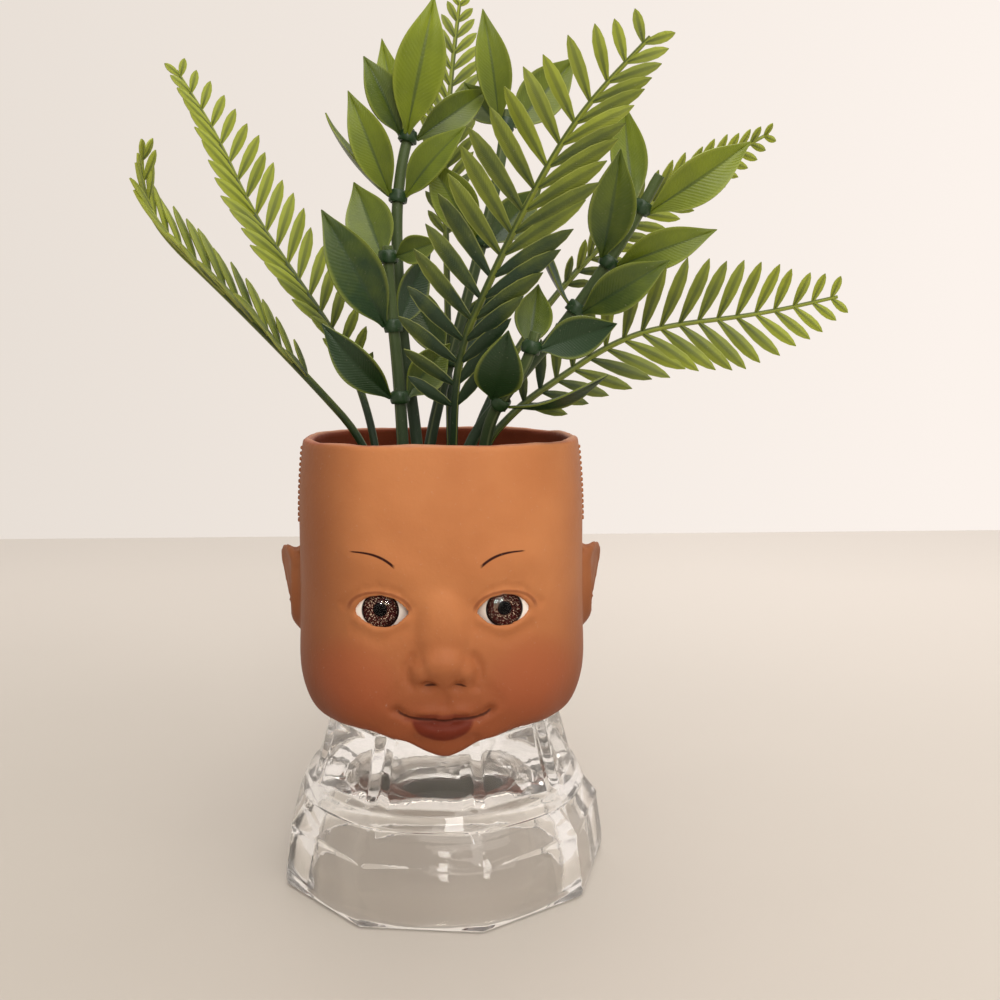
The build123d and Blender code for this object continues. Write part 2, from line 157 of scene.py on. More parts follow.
def duplicate(piece):
    """A copy of a piece, with a mesh of its own."""
    made = piece.copy()
    made.data = piece.data.copy()
    bpy.context.scene.collection.objects.link(made)
    return made


def node_copy(node, name):
    """A copy of one of the frame's nodes, its loose triangles merged."""
    piece = duplicate(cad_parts[node])
    piece.parent = None
    piece.name = name
    for key in list(piece.keys()):
        del piece[key]
    piece.data.materials.clear()
    outward(piece)
    return piece


def smooth(piece, angle=180):
    """Smooth shading, except across edges sharper than an angle."""
    activate(piece)
    bpy.ops.object.shade_smooth_by_angle(angle=math.radians(angle))


def count(piece):
    """Says how many faces a piece has."""
    print(piece.name, "faces:", len(piece.data.polygons))


# %% [markdown]
# Shader nodes are usually wired by hand. Written as sums they are easier to read, so a small
# class wraps an output socket and lets Python's own operators add the Math nodes. A second
# class holds a material, or the world, and has one method for every other kind of node.

# %% Shader tools
def math_method(operation, flipped=False):
    """The method for one of Python's operators: it adds a Math node."""
    def method(self, other):
        pair = (other, self) if flipped else (self, other)
        return self.finish.node("Math", {"operation": operation}, dict(enumerate(pair)))
    return method


class Field:
    """An output socket of a material, used like a number."""

    __add__ = __radd__ = math_method("ADD")
    __sub__ = math_method("SUBTRACT")
    __rsub__ = math_method("SUBTRACT", flipped=True)
    __mul__ = __rmul__ = math_method("MULTIPLY")
    __truediv__ = math_method("DIVIDE")
    __pow__ = math_method("POWER")

    def __init__(self, finish, socket):
        self.finish = finish
        self.socket = socket

    def __abs__(self):
        return self.finish.node("Math", {"operation": "ABSOLUTE"}, {0: self})

    def clamp(self):
        return self.finish.node("Clamp", {}, {0: self})

    def step(self, low, high):
        """0 below low and 1 above high, with a soft passage between them."""
        settings = {"interpolation_type": "SMOOTHSTEP"}
        return self.finish.node("MapRange", settings, {0: self, 1: low, 2: high})


class Finish:
    """A new material, or the world that it is given, and the nodes that make it."""

    def __init__(self, name, world=None):
        self.material = world or bpy.data.materials.new(name)
        self.material.use_nodes = True
        self.tree = self.material.node_tree
        self.tree.nodes.clear()

    def node(self, kind, settings, sockets, output=0):
        """Any node: its type, its settings, then the values or links of its sockets."""
        made = self.tree.nodes.new("ShaderNode" + kind)
        for key, value in settings.items():
            setattr(made, key, value)
        for key, value in sockets.items():
            if isinstance(value, Field):
                self.tree.links.new(value.socket, made.inputs[key])
            else:
                made.inputs[key].default_value = value
        return Field(self, made.outputs[output]) if made.outputs else None

    def place(self):
        """The point on the piece, in millimetres, as a vector."""
        point = self.node("TexCoord", {}, {}, "Object")
        return self.node("VectorMath", {"operation": "SCALE"}, {0: point, "Scale": 1 / MM})

    def axes(self, vector):
        """A vector's three parts."""
        return [self.node("SeparateXYZ", {}, {0: vector}, axis) for axis in "XYZ"]

    def noise(self, vector, scale, detail=2.0, rough=0.5):
        """Soft random values over a vector, about 0.5 in the middle."""
        sockets = {"Vector": vector, "Scale": scale, "Detail": detail, "Roughness": rough}
        return self.node("TexNoise", {}, sockets)

    def mix(self, low, high, factor):
        """Two colours mixed by a factor."""
        return self.node("Mix", {"data_type": "RGBA"}, {0: factor, 6: low, 7: high}, 2)

    def value(self, attribute):
        """A number that the mesh carries at each of its points."""
        return self.node("Attribute", {"attribute_name": attribute}, {}, "Fac")

    def bump(self, height, depth):
        """A normal that follows a height, whose full range stands for a real depth."""
        return self.node("Bump", {}, {"Height": height, "Distance": depth, "Strength": 1.0})

    def surface(self, sockets):
        """The Principled shader, linked to the output."""
        shader = self.node("BsdfPrincipled", {}, sockets)
        self.node("OutputMaterial", {}, {"Surface": shader})
        return self.material


def colour(red, green, blue):
    """A colour from its display values, 0 to 255, as the linear light that shaders use."""
    def linear(value):
        share = value / 255
        return share / 12.92 if share <= 0.04045 else ((share + 0.055) / 1.055) ** 2.4
    return (linear(red), linear(green), linear(blue), 1.0)


def paint(piece, material):
    """Gives a piece its only material."""
    piece.data.materials.clear()
    piece.data.materials.append(material)


# %% [markdown]
# The table is a plain pale surface that ends behind the planter, and the wall behind it is
# the world's own colour. Seen by the camera, or through and in the glass, the world is a warm
# off-white, a little darker on the left. To everything else it is a soft even light. The
# alternative is a lit backdrop, which would need a lamp of its own and would throw that light
# on the planter too. Two small bright panes stand for the window that shows in the doll's
# eyes. Light linking lets only the eye lenses receive them, so they whiten nothing else.

# %% Table, world and lamps
TABLE_BACK = 646 * MM
TABLE_WIDE, TABLE_DEEP = 6, 4
WALL_LEFT = colour(230, 221, 212)
WALL_RIGHT = colour(252, 243, 236)
WALL_SPAN = 0.45
SKY = (1.0, 0.97, 0.94, 1)
SKY_STRENGTH = 0.5
LAMP_WARMTH = (1.0, 0.96, 0.92)

# The name, place, aim and two sides of each lamp in metres, and its power in watts.
LAMPS = [
    ("window", (0.16, -1.15, 0.72), (0, 0, 0.13), (0.3, 0.34), 3.2),
    ("window_pane", (-0.25, -1.1, 0.46), (0, 0, 0.1), (0.24, 0.26), 40.0),
    ("window_pane", (0.18, -1.1, 0.46), (0, 0, 0.1), (0.24, 0.26), 40.0),
    ("room", (0.35, -0.9, 1.5), (0, 0, 0.1), (1.7, 1.5), 17.0),
    ("ceiling", (0.1, 0.35, 1.4), (0, 0, 0.1), (1.4, 1.4), 7.0)]


def table_finish():
    """Matte painted board with a faint cloudiness, and painted light: paler to the right and towards the
    far edge.
    """
    finish = Finish("table")
    x, y = finish.axes(finish.place())[:2]
    cloud = finish.noise(finish.place(), 0.008, 3.0)
    shade = finish.mix(colour(188, 180, 169), colour(196, 188, 177), cloud)
    # Painted light: the board is paler to the right and towards the far edge.
    bright = x.step(-250.0, 350.0) * 0.4 + y.step(-60.0, 500.0) * 0.65
    shade = finish.mix(shade, colour(232, 223, 214), bright.clamp())
    return finish.surface({"Base Color": shade, "Roughness": 0.55})


def make_table():
    """The table top, from a plane whose far edge is where the photograph's table ends."""
    table = add(bpy.ops.mesh.primitive_plane_add, size=1)
    table.name = "table_top"
    table.scale = (TABLE_WIDE, TABLE_DEEP, 1)
    table.location = (0, TABLE_BACK - TABLE_DEEP / 2, 0)
    settle(table)
    table.data.materials.append(table_finish())


def make_world():
    """Off-white where it is seen, and a soft light elsewhere."""
    world = bpy.data.worlds.new("studio")
    bpy.context.scene.world = world
    finish = Finish("studio", world)
    seen = 0.0
    for kind in ("Camera", "Glossy", "Transmission"):
        ray = finish.node("LightPath", {}, {}, "Is " + kind + " Ray")
        seen = finish.node("Math", {"operation": "MAXIMUM"}, {0: seen, 1: ray})
    across = finish.node("SeparateXYZ", {}, {0: finish.node("TexCoord", {}, {}, "Generated")}, "X")
    spread = finish.node("MapRange", {}, {"Value": across, "From Min": -WALL_SPAN, "From Max": WALL_SPAN})
    wall = finish.node("Background", {}, {"Color": finish.mix(WALL_LEFT, WALL_RIGHT, spread)})
    sky = finish.node("Background", {}, {"Color": SKY, "Strength": SKY_STRENGTH})
    both = finish.node("MixShader", {}, {0: seen, 1: sky, 2: wall})
    finish.node("OutputWorld", {}, {"Surface": both})


def make_lamp(name, place, aim, size, power):
    """A soft rectangular lamp that points at a place."""
    lamp = add(bpy.ops.object.light_add, type="AREA", location=place)
    lamp.name = name
    lamp.data.shape = "RECTANGLE"
    lamp.data.size, lamp.data.size_y = size
    lamp.data.energy = power
    lamp.data.color = LAMP_WARMTH
    lamp.rotation_euler = (Vector(aim) - Vector(place)).to_track_quat("-Z", "Y").to_euler()
    return lamp


make_table()
make_world()
glint_pieces = bpy.data.collections.new("pieces_with_a_glint")
for lamp_settings in LAMPS:
    lamp = make_lamp(*lamp_settings)
    if lamp_settings[0] == "window_pane":
        lamp.light_linking.receiver_collection = glint_pieces
bpy.context.scene.view_settings.view_transform = "Standard"
print("table edge at", TABLE_BACK)

# %% [markdown]
# The head is soft vinyl, cast in one mould: a shell with ears, nose and lips, and a top that
# was cut off by hand. It could be drawn as one surface from the start, but the frame already
# holds the skull, the ears, the lumps of the face and the hollow. So a copy of that solid is
# remeshed evenly, which melts the lumps together as wax would, and is then sculpted.

# %% Head: an even skin over the frame's solid
SKIN_GRAIN = 0.92 * MM
EAR_OUT = 47.6
EAR_BACK = 4.0
EAR_LEVEL = 91.5
EAR_FLARE = 22.0
EAR_TILT = 9.0
EAR_BLUNT = 3.2
EAR_WIDTH = 6.5
# The two rolled edges: radius and thickness as shares, then half the depth and the height.
EAR_RINGS = [(1.0, 0.19, 7.6, 10.7), (0.62, 0.16, 7.4, 10.4)]
EAR_FLOOR = (1.3, 7.0, 10.4)
LOBE_SIZE = (1.9, 3.6, 3.8)
LOBE_PLACE = (0, -1.5, -11.5)


def ear_part(part, size, place=(0, 0, 0), blunt=True):
    """A form of unit size given its size and place, its round top made blunt first."""
    for vertex in part.data.vertices:
        x, y, z = vertex.co
        if blunt and z > 0:
            vertex.co *= math.hypot(y, z) / (abs(y) ** EAR_BLUNT + z ** EAR_BLUNT) ** (1 / EAR_BLUNT)
    sizes = Matrix.Diagonal([value * MM for value in size] + [1])
    part.data.transform(Matrix.Translation(Vector(place) * MM) @ sizes)
    return part


def make_ear(side):
    """The rolled edge and the lobe of one ear, blunt at its top, to be melted in."""
    parts = []
    for major, minor, depth, height in EAR_RINGS:
        ring = add(
            bpy.ops.mesh.primitive_torus_add, major_radius=major, minor_radius=minor,
            major_segments=36, minor_segments=12, rotation=(0, math.radians(90), 0))
        settle(ring)
        parts.append(ear_part(ring, (EAR_WIDTH, depth, height)))
    lobe = add(bpy.ops.mesh.primitive_uv_sphere_add, radius=1, segments=20, ring_count=12)
    parts.append(ear_part(lobe, LOBE_SIZE, LOBE_PLACE, blunt=False))
    floor = add(bpy.ops.mesh.primitive_uv_sphere_add, radius=1, segments=24, ring_count=16)
    parts.append(ear_part(floor, EAR_FLOOR))
    ear = join(parts, "ear")
    lean = Matrix.Rotation(math.radians(side * -EAR_FLARE), 4, "Z")
    nod = Matrix.Rotation(math.radians(side * EAR_TILT), 4, "Y")
    place = Matrix.Translation(Vector((side * EAR_OUT, EAR_BACK, EAR_LEVEL)) * MM)
    ear.data.transform(place @ nod @ lean)
    return ear


def make_head():
    """The head's solid with its ears, remeshed and melted smooth."""
    head = node_copy("head_shell", "vinyl_head")
    head = join([head, make_ear(-1), make_ear(1)], "vinyl_head")
    modify(head, "REMESH", mode="VOXEL", voxel_size=SKIN_GRAIN)
    modify(head, "SMOOTH", factor=0.5, iterations=7)
    return head


head = make_head()
count(head)

# %% [markdown]
# Sculpting is pushing: every stroke moves the skin under a line by a little, less and less
# towards the edge of the brush. Proportional editing does just that by operator. A stroke
# here is a line of points on the face, across and up in millimetres, the push, and the size
# of the brush. Most strokes have a twin on the other side of the face.

# %% Head: the brush
# A point is pushed when it lies this near the line, before this depth, and in the outer skin.
STROKE_REACH = 0.6
FACE_DEPTH = -18.0
SKIN_THICKNESS = 2.0
FAR_OUT = 80.0


def nearest(points, across, up):
    """Distance in millimetres from a point of the face to a line of points."""
    best = 1e9
    for (ax, az), (bx, bz) in zip(points, points[1:] or points):
        dx, dz = bx - ax, bz - az
        length = dx * dx + dz * dz
        share = 0 if length == 0 else max(0, min(1, ((across - ax) * dx + (up - az) * dz) / length))
        best = min(best, math.hypot(across - ax - share * dx, up - az - share * dz))
    return best


def skin_front(across, up):
    """Where the skin's front is at a point of the face, in millimetres."""
    hit, place = head.ray_cast(Vector((across, -FAR_OUT, up)) * MM, (0, 1, 0))[:2]
    return place.y / MM if hit else 0.0


def stroke(points, push, size, twin=True):
    """Pushes the outer skin of the face along a line."""
    lines = [points]
    if twin:
        lines.append([(-across, up) for across, up in points])
    low = min(up for across, up in points) - STROKE_REACH
    high = max(up for across, up in points) + STROKE_REACH

    def on_line(place):
        across, out, up = (value / MM for value in place)
        if out > FACE_DEPTH or not low <= up <= high:
            return False
        if min(nearest(line, across, up) for line in lines) > STROKE_REACH:
            return False
        return out < skin_front(across, up) + SKIN_THICKNESS

    pick(head, on_line)
    bpy.ops.transform.translate(
        value=Vector(push) * MM, use_proportional_edit=True, proportional_edit_falloff="SMOOTH",
        proportional_size=size * MM)
    bpy.ops.object.mode_set(mode="OBJECT")


# %% [markdown]
# The lids and their folds come first, because the glass eyes sit behind them. Then come the
# wings and holes of the nose, the groove below it, the line between the lips, the dimples at
# their corners and the soft folds of the cheeks. A push of less than a millimetre is enough:
# on so smooth a skin the light shows every hollow. The wide pushes under the chin leave the
# jaw a little lumpy, so it is smoothed at last.

# %% Head: lids, nose, lips and cheeks
STROKES = [
    # lids: the bands over and under the opening, then the folds beyond them
    ([(10.4, 93.6), (13.5, 97.0), (17.75, 98.2), (22.0, 97.0), (25.6, 93.4)], (0, -0.35, 0), 1.8),
    ([(8.4, 93.6), (12.6, 98.0), (17.75, 99.4), (23.0, 98.2), (28.4, 93.0)], (0, 0.6, 0), 1.5),
    ([(11.0, 89.8), (17.75, 86.6), (24.8, 89.6)], (0, -0.4, 0), 2.0),
    ([(10.8, 86.8), (17.75, 83.4), (25.4, 86.4)], (0, 0.55, 0), 2.6),
    # brow, and the hollow beside the bridge of the nose
    ([(11.0, 103.6), (17.5, 106.6), (25.0, 107.0)], (0, -0.7, 0), 7.0),
    ([(7.6, 93.0), (7.4, 89.0)], (0, 0.5, 0), 5.0),
    # nose: wings, holes and the grooves round them
    ([(4.4, 79.0), (4.8, 75.4)], (0, -0.5, 0), 3.2),
    ([(7.2, 75.6), (7.2, 73.6)], (0, -0.8, -0.3), 3.4),
    ([(8.8, 79.0), (10.2, 76.4), (10.2, 73.6), (8.8, 71.2)], (0, 1.0, 0), 1.9),
    ([(2.8, 71.8), (5.2, 71.6)], (0, 1.5, 0.6), 1.5),
    # the corners of the mouth and the folds that run to them
    ([(13.4, 64.3), (13.8, 63.6)], (0, 0.8, 0), 2.0),
    ([(12.4, 70.6), (15.8, 66.0)], (0, 0.45, 0), 3.4),
    # cheeks, and the jaw drawn up beside the chin
    ([(25.0, 68.0), (27.0, 65.0)], (0, -1.3, 0), 15.0),
    ([(23.0, 56.5), (29.0, 58.5), (34.0, 62.0)], (0, 0.4, 2.1), 13.0),
    ([(10.0, 52.0), (15.5, 54.5)], (0, -0.7, 0.1), 6.5),
]
MIDDLE_STROKES = [
    # the end of the nose and the groove below it
    ([(-1.6, 72.0), (0.7, 71.6), (3.0, 72.0)], (0, -0.5, -0.9), 3.6),
    ([(0.4, 69.6), (0.4, 66.4)], (0, 0.7, 0), 2.0),
    # the line between the lips, the peaks of the upper lip and the lower lip
    ([(-12.8, 63.9), (-9.4, 62.2), (-4.5, 61.9), (0.4, 61.2), (5.2, 61.9), (10.2, 62.2), (13.6, 64.2)],
     (0, 1.25, 0), 1.7),
    ([(-5.6, 63.9), (-3.6, 64.5)], (0, -0.6, 0), 2.4),
    ([(6.4, 63.9), (4.4, 64.5)], (0, -0.6, 0), 2.4),
    ([(-5.5, 58.9), (0.4, 58.0), (6.2, 58.9)], (0, -0.7, 0), 4.2),
    # the fold under the lip, the chin, and its point pushed down
    ([(-7.2, 55.8), (0.4, 54.2), (8.0, 55.8)], (0, 0.9, 0), 3.0),
    ([(-3.0, 50.8), (3.6, 50.8)], (0, -0.5, 0), 4.5),
    ([(-0.5, 50.6), (1.8, 50.6)], (0, -0.1, -1.3), 4.6),
    ([(5.5, 50.2), (9.5, 51.6)], (0, 0.2, 0.9), 5.5),
]
JAW_TOP = 55.0
JAW_HALF = 24.0
JAW_DEPTH = -14.0

for points, push, size in STROKES:
    stroke(points, push, size)
for points, push, size in MIDDLE_STROKES:
    stroke(points, push, size, twin=False)
pick(head, lambda place: (
    place.z < JAW_TOP * MM and abs(place.x) < JAW_HALF * MM and place.y < JAW_DEPTH * MM))
bpy.ops.mesh.vertices_smooth(factor=0.5, repeat=32)
bpy.ops.object.mode_set(mode="OBJECT")
print("strokes:", 2 * len(STROKES) + len(MIDDLE_STROKES))

# %% [markdown]
# The top was cut with a knife, so its edge wanders up and down by a fraction of a
# millimetre. Noise moves the points near the rim, more the nearer they are. The doll's hair
# was rooted in the scalp and then pulled out. Its stubs show along both sides of the head, so
# small cones stand there in rows, each where a ray from outside meets the skin.

# %% Head: the hand-cut rim
RIM_LEVEL = 139.6
CUT_BAND = 4.0
CUT_WANDER = 0.7
LONG_WAVE, SHORT_WAVE = 16, 5
DRAW_FROM = 116.0
DRAW_IN = 0.024
PLUG_LEVELS = (114.0, 137.5)
PLUG_STEP = 1.7
PLUG_ROWS = (-12.5, -9.8, -7.1)
PLUG_SIZE = {"radius1": 0.6 * MM, "radius2": 0.25 * MM, "depth": 0.9 * MM}


def cut_rim():
    """Draws the sides in towards the top, and lets the rim dip and rise a little."""
    for vertex in head.data.vertices:
        height = (vertex.co.z / MM - DRAW_FROM) / (RIM_LEVEL - DRAW_FROM)
        if height > 0:
            vertex.co.x *= 1 - DRAW_IN * height ** 2
        nearness = 1 - (RIM_LEVEL - vertex.co.z / MM) / CUT_BAND
        if nearness > 0:
            flat = Vector((vertex.co.x, vertex.co.y, 0)) / MM
            wander = noise(flat / LONG_WAVE) + 0.2 * noise(flat / SHORT_WAVE) - 0.6
            vertex.co.z += CUT_WANDER * wander * nearness * MM


def make_plugs():
    """The stubs of rooted hair on both sides of the scalp, as small cones."""
    stub = add(bpy.ops.mesh.primitive_cone_add, vertices=6, **PLUG_SIZE)
    plugs = []
    for side in (-1, 1):
        turn = Matrix.Rotation(math.radians(side * 90), 4, "Y")
        for depth in PLUG_ROWS:
            level = PLUG_LEVELS[0]
            while level < PLUG_LEVELS[1]:
                outside = Vector((side * FAR_OUT, depth, level)) * MM
                place = head.ray_cast(outside, (-side, 0, 0))[1]
                plugs.append(duplicate(stub))
                plugs[-1].data.transform(Matrix.Translation(place) @ turn)
                level += PLUG_STEP
    bpy.data.objects.remove(stub)
    return plugs


cut_rim()
plugs = make_plugs()
head = join([head] + plugs, "vinyl_head")
smooth(head)
print("plugs:", len(plugs))
count(head)

# %% [markdown]
# Vinyl skin is dyed through, then brows, lips and cheeks are sprayed on thinly. The fold over
# each eye, the line between the lips and the nostrils get painted shade. Each painted part is
# a mask: 1 where the paint or painted shade lies, 0 elsewhere, with a soft edge. Masks are
# worked out from the distance to a curve on the face, in millimetres, so they sit where the
# forms are.
# An image texture could hold all this, but it would be tied to one size and one picture.

# %% Head: painted skin
BROW_START = (12.2, 105.5)
BROW_SPAN = 12.2
BROW_RISE = 3.7
BROW_MIDDLE = -1.3
LID_MIDDLE, LID_HALF = (17.9, 91.6), (9.0, 6.2)
CHEEK_MIDDLE, CHEEK_HALF = (26, 72), (14, 13)
LIP_MIDDLE = -0.2
LIP_LEVEL = 61.7
LOWER_LIP_LEVEL, LOWER_LIP_HALF = 61.4, (9.0, 5.8)
NOSE_MIDDLE = 0.7
NOSTRIL_ASIDE, NOSTRIL_LEVEL, NOSTRIL_HALF = 4.3, 71.5, (1.8, 0.36)
SKULL_HALF = (44.8, 45.0)
SKULL_ROUND = 2.4


def oval(across, up, half_wide, half_high):
    """1 on an ellipse about the middle, less inside it and more outside."""
    return ((across / half_wide) ** 2 + (up / half_high) ** 2) ** 0.5


def brow_mask(x, z):
    """The thin sprayed brows, one on each side."""
    share = (abs(x - BROW_MIDDLE) - BROW_START[0]) / BROW_SPAN
    rest = 1 - share.clamp()
    line = BROW_START[1] + BROW_RISE * (1 - rest * rest * rest)
    width = 0.16 + 0.3 * rest
    body = 1 - (abs(z - line) / width).step(0.6, 1.6)
    return body * share.step(-0.05, 0.05) * (1 - share.step(0.93, 1.05))


def lid_line(x, z):
    """Painted shade in the fold over each eye, an arch a little larger than the opening."""
    arch = oval(abs(x) - LID_MIDDLE[0], z - LID_MIDDLE[1], *LID_HALF)
    return (1 - abs(arch - 1).step(0.02, 0.09)) * z.step(91.5, 94.0)


def lower_lip(x, z):
    """The darker lower lip, half an ellipse under the line between the lips."""
    low = oval(x - LIP_MIDDLE, z - LOWER_LIP_LEVEL, *LOWER_LIP_HALF)
    return (1 - low.step(0.88, 1.03)) * (1 - z.step(61.2, 62.0))


def upper_lip(x, z):
    """The thin upper lip, with its two low peaks."""
    across = abs(x - LIP_MIDDLE)
    top = 63.2 + 0.8 * (1 - (abs(across - 3.6) / 3.6).clamp()) - 0.10 * across
    return (1 - (z - top).step(-0.3, 0.5)) * z.step(60.8, 61.6) * (1 - across.step(8.0, 12.5))


def lip_line(x, z):
    """Painted shade along the line between the lips, which rises to the corners of the mouth."""
    across = abs(x - LIP_MIDDLE - 0.5)
    line = LIP_LEVEL + 2.2 * (across / 13.4) ** 4 - 0.3 * (1 - (across / 3.0).clamp())
    return (1 - abs(z - line).step(0.15, 0.6)) * (1 - across.step(12.4, 13.8))


def nostrils(x, z):
    """Painted shade in the two holes under the nose."""
    across = abs(x - NOSE_MIDDLE) - NOSTRIL_ASIDE
    return 1 - oval(across, z - NOSTRIL_LEVEL + 0.10 * across, *NOSTRIL_HALF).step(0.6, 1.15)


# Each painted part, sprayed paint or painted shade: its mask, its colour and how strongly it covers.
PAINT_AND_SHADE = [
    (lid_line, (108, 46, 28), 0.55), (brow_mask, (48, 12, 8), 1.0), (lower_lip, (98, 30, 12), 0.9),
    (upper_lip, (132, 64, 44), 0.8), (lip_line, (48, 12, 2), 0.8), (nostrils, (44, 10, 2), 0.8)]


def skin_finish():
    """Dyed vinyl, its sprayed paint, painted shade low on the face, at its sides, in its creases and on
    the inside wall, dust and the light cut edge.
    """
    finish = Finish("vinyl_skin")
    place = finish.place()
    x, y, z = finish.axes(place)
    cloud = finish.noise(place, 0.045, 4.0)
    fine = finish.noise(place, 0.9, 4.0, 0.6)
    skin = finish.mix(colour(189, 119, 72), colour(199, 129, 80), cloud.step(0.3, 0.7))
    # Painted shade: darker towards the bottom of the face and towards its sides, more on the left.
    skin = finish.mix(skin, colour(142, 76, 44), 1 - z.step(58.0, 100.0))
    skin = finish.mix(skin, colour(112, 60, 36), abs(x - 6).step(24.0, 46.0) * 0.65)
    facing_front = (0 - y).step(10.0, 36.0)
    cheek = ((abs(x) - CHEEK_MIDDLE[0]) / CHEEK_HALF[0]) ** 2
    cheek = cheek + ((z - CHEEK_MIDDLE[1]) / CHEEK_HALF[1]) ** 2
    blush = (1 - cheek.step(0.1, 1.2)) * facing_front
    skin = finish.mix(skin, colour(158, 80, 50), blush * 0.45)
    for mask, tint, strength in PAINT_AND_SHADE:
        skin = finish.mix(skin, colour(*tint), mask(x, z) * facing_front * strength)
    # Painted shade: the inside wall of the head is darker than the outside skin.
    wall = (abs(x) / SKULL_HALF[0]) ** SKULL_ROUND + (abs(y - 0.5) / SKULL_HALF[1]) ** SKULL_ROUND
    inside = (1 - wall.step(0.855, 0.9)) * z.step(66.0, 74.0) * (1 - z.step(139.0, 139.4))
    skin = finish.mix(skin, colour(140, 66, 42), inside)
    cut = z.step(138.2, 139.2)
    skin = finish.mix(skin, colour(206, 150, 118), cut * 0.7)
    skin = finish.mix(skin, colour(205, 188, 170), fine.step(0.62, 0.8) * 0.18)
    rough = 0.42 + 0.14 * cloud + 0.1 * fine
    normal = finish.bump(fine * 0.6 + finish.noise(place, 0.25, 3.0), 0.12 * MM)
    return finish.surface({
        "Base Color": skin, "Roughness": rough, "Normal": normal,
        "Subsurface Weight": 0.06, "Subsurface Radius": (0.004, 0.0015, 0.0008),
        "Specular IOR Level": 0.16})


paint(head, skin_finish())
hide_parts("head_shell")
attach(head, "head")
print("head skin painted")

# %% [markdown]
# Each eye is three castings: a white ball, a coloured disc sunk in it, and a clear dome in
# front, which makes the disc look deeper than it lies. All three are turned forms. A turned
# form starts as one point, drawn out by extrusion into half of its outline, and is then
# swept round by the Spin operator. Spin can leave a mesh inside out, so that is put right.

# %% Turned forms
def turned(outline, name, steps=64):
    """A form swept round the upright axis from its half outline, in millimetres."""
    piece = add(bpy.ops.mesh.primitive_plane_add, size=MM)
    piece.name = name
    piece.data.name = name
    bpy.ops.object.mode_set(mode="EDIT")
    bpy.ops.mesh.select_all(action="SELECT")
    bpy.ops.mesh.merge(type="CENTER")
    start = Vector((outline[0][0], 0, outline[0][1]))
    bpy.ops.transform.translate(value=start * MM)
    for (radius, height), (next_radius, next_height) in zip(outline, outline[1:]):
        step = Vector((next_radius - radius, 0, next_height - height))
        bpy.ops.mesh.extrude_region_move(TRANSFORM_OT_translate={"value": step * MM})
    bpy.ops.mesh.select_all(action="SELECT")
    bpy.ops.mesh.spin(steps=steps, angle=2 * math.pi, center=(0, 0, 0), axis=(0, 0, 1))
    bpy.ops.object.mode_set(mode="OBJECT")
    outward(piece)
    return piece


def arc(radius, start, end, steps, centre=(0.0, 0.0)):
    """Points of an arc, with angles in degrees from the radial direction."""
    points = []
    for step in range(steps + 1):
        angle = math.radians(start + (end - start) * step / steps)
        points.append((centre[0] + radius * math.cos(angle), centre[1] + radius * math.sin(angle)))
    return points


# %% Eyes: ball, disc and dome
EYE_SPACING = 35.5
EYE_LEVEL = 92.2
EYE_FRONT = -41.0
EYE_YAW = 8.0
BALL_RADIUS = 14.1
BALL_EDGE = 9.2
IRIS_RADIUS = 5.4
IRIS_SEAT = -2.0
CORNEA_RADIUS = 9.4
PUPIL_RADIUS = 2.05
PUPIL_EDGE = PUPIL_RADIUS + 0.2
PUPIL_STEP = 0.12
WHITE_DEPTH = 2.4
SOCKET_DEPTH = 0.7
DISC_THICKNESS = 0.65
DISC_HOLLOW = 0.7
DOME_DEPTH = 0.9


def eye_turn(side):
    """The place and direction of one eye, its own +Z looking out of the face."""
    turn = Matrix.Rotation(math.radians(90), 4, "X")
    yaw = Matrix.Rotation(math.radians(side * EYE_YAW), 4, "Z")
    place = Vector((side * EYE_SPACING / 2, EYE_FRONT, EYE_LEVEL)) * MM
    return Matrix.Translation(place) @ yaw @ turn


def ball_height(radius):
    """Height of the ball's front at a distance from its middle."""
    return math.sqrt(BALL_RADIUS ** 2 - radius ** 2) - BALL_RADIUS


def make_white():
    """The ball's front with the seat of the disc sunk in it."""
    steps = 12
    front = []
    for step in range(steps + 1):
        radius = IRIS_RADIUS + (BALL_EDGE - IRIS_RADIUS) * step / steps
        front.append((radius, ball_height(radius)))
    back = ball_height(BALL_EDGE) - WHITE_DEPTH
    floor = IRIS_SEAT - SOCKET_DEPTH
    outline = [(0, floor), (IRIS_RADIUS, floor)] + front
    return turned(outline + [(BALL_EDGE, back), (0, back)], "eye_white", 72)


def make_iris():
    """The coloured disc, slightly hollow like a dish, with the pupil as a low button."""
    outline = [(0, IRIS_SEAT + 0.05), (PUPIL_RADIUS, IRIS_SEAT), (PUPIL_EDGE, IRIS_SEAT - PUPIL_STEP)]
    steps = 8
    for step in range(1, steps + 1):
        share = step / steps
        radius = PUPIL_EDGE + (IRIS_RADIUS - 0.3 - PUPIL_RADIUS) * share
        outline.append((radius, IRIS_SEAT - PUPIL_STEP + DISC_HOLLOW * share ** 2))
    back = IRIS_SEAT - DISC_THICKNESS
    outline += [(IRIS_RADIUS - 0.05, back), (0, back)]
    return turned(outline, "eye_iris", 96)


def make_dome():
    """The clear front, bulging a little more than the ball."""
    rise = CORNEA_RADIUS - math.sqrt(CORNEA_RADIUS ** 2 - IRIS_RADIUS ** 2)
    edge = ball_height(IRIS_RADIUS)
    limit = math.degrees(math.acos(IRIS_RADIUS / CORNEA_RADIUS))
    front = arc(CORNEA_RADIUS, limit, 90, 14, (0, edge + rise - CORNEA_RADIUS))
    side = IRIS_RADIUS - 0.04
    outline = [(0, edge - DOME_DEPTH), (side, edge - DOME_DEPTH), (side, edge - 0.05)]
    return turned(outline + front[1:], "eye_dome", 72)


def seat_eye(piece, side, name):
    """Puts a copy of one eye part in the face, with its place in its mesh."""
    part = duplicate(piece)
    part.name = name
    part.matrix_world = eye_turn(side)
    settle(part)
    smooth(part, 40)
    return part


# %% [markdown]
# The white is not white: it is a warm cream with a little pink. The disc is dark brown,
# lighter in fine rays near the pupil, where gold flakes were mixed into the paint. Rays run
# outwards from the middle, so the disc's pattern needs the distance and the angle from it.

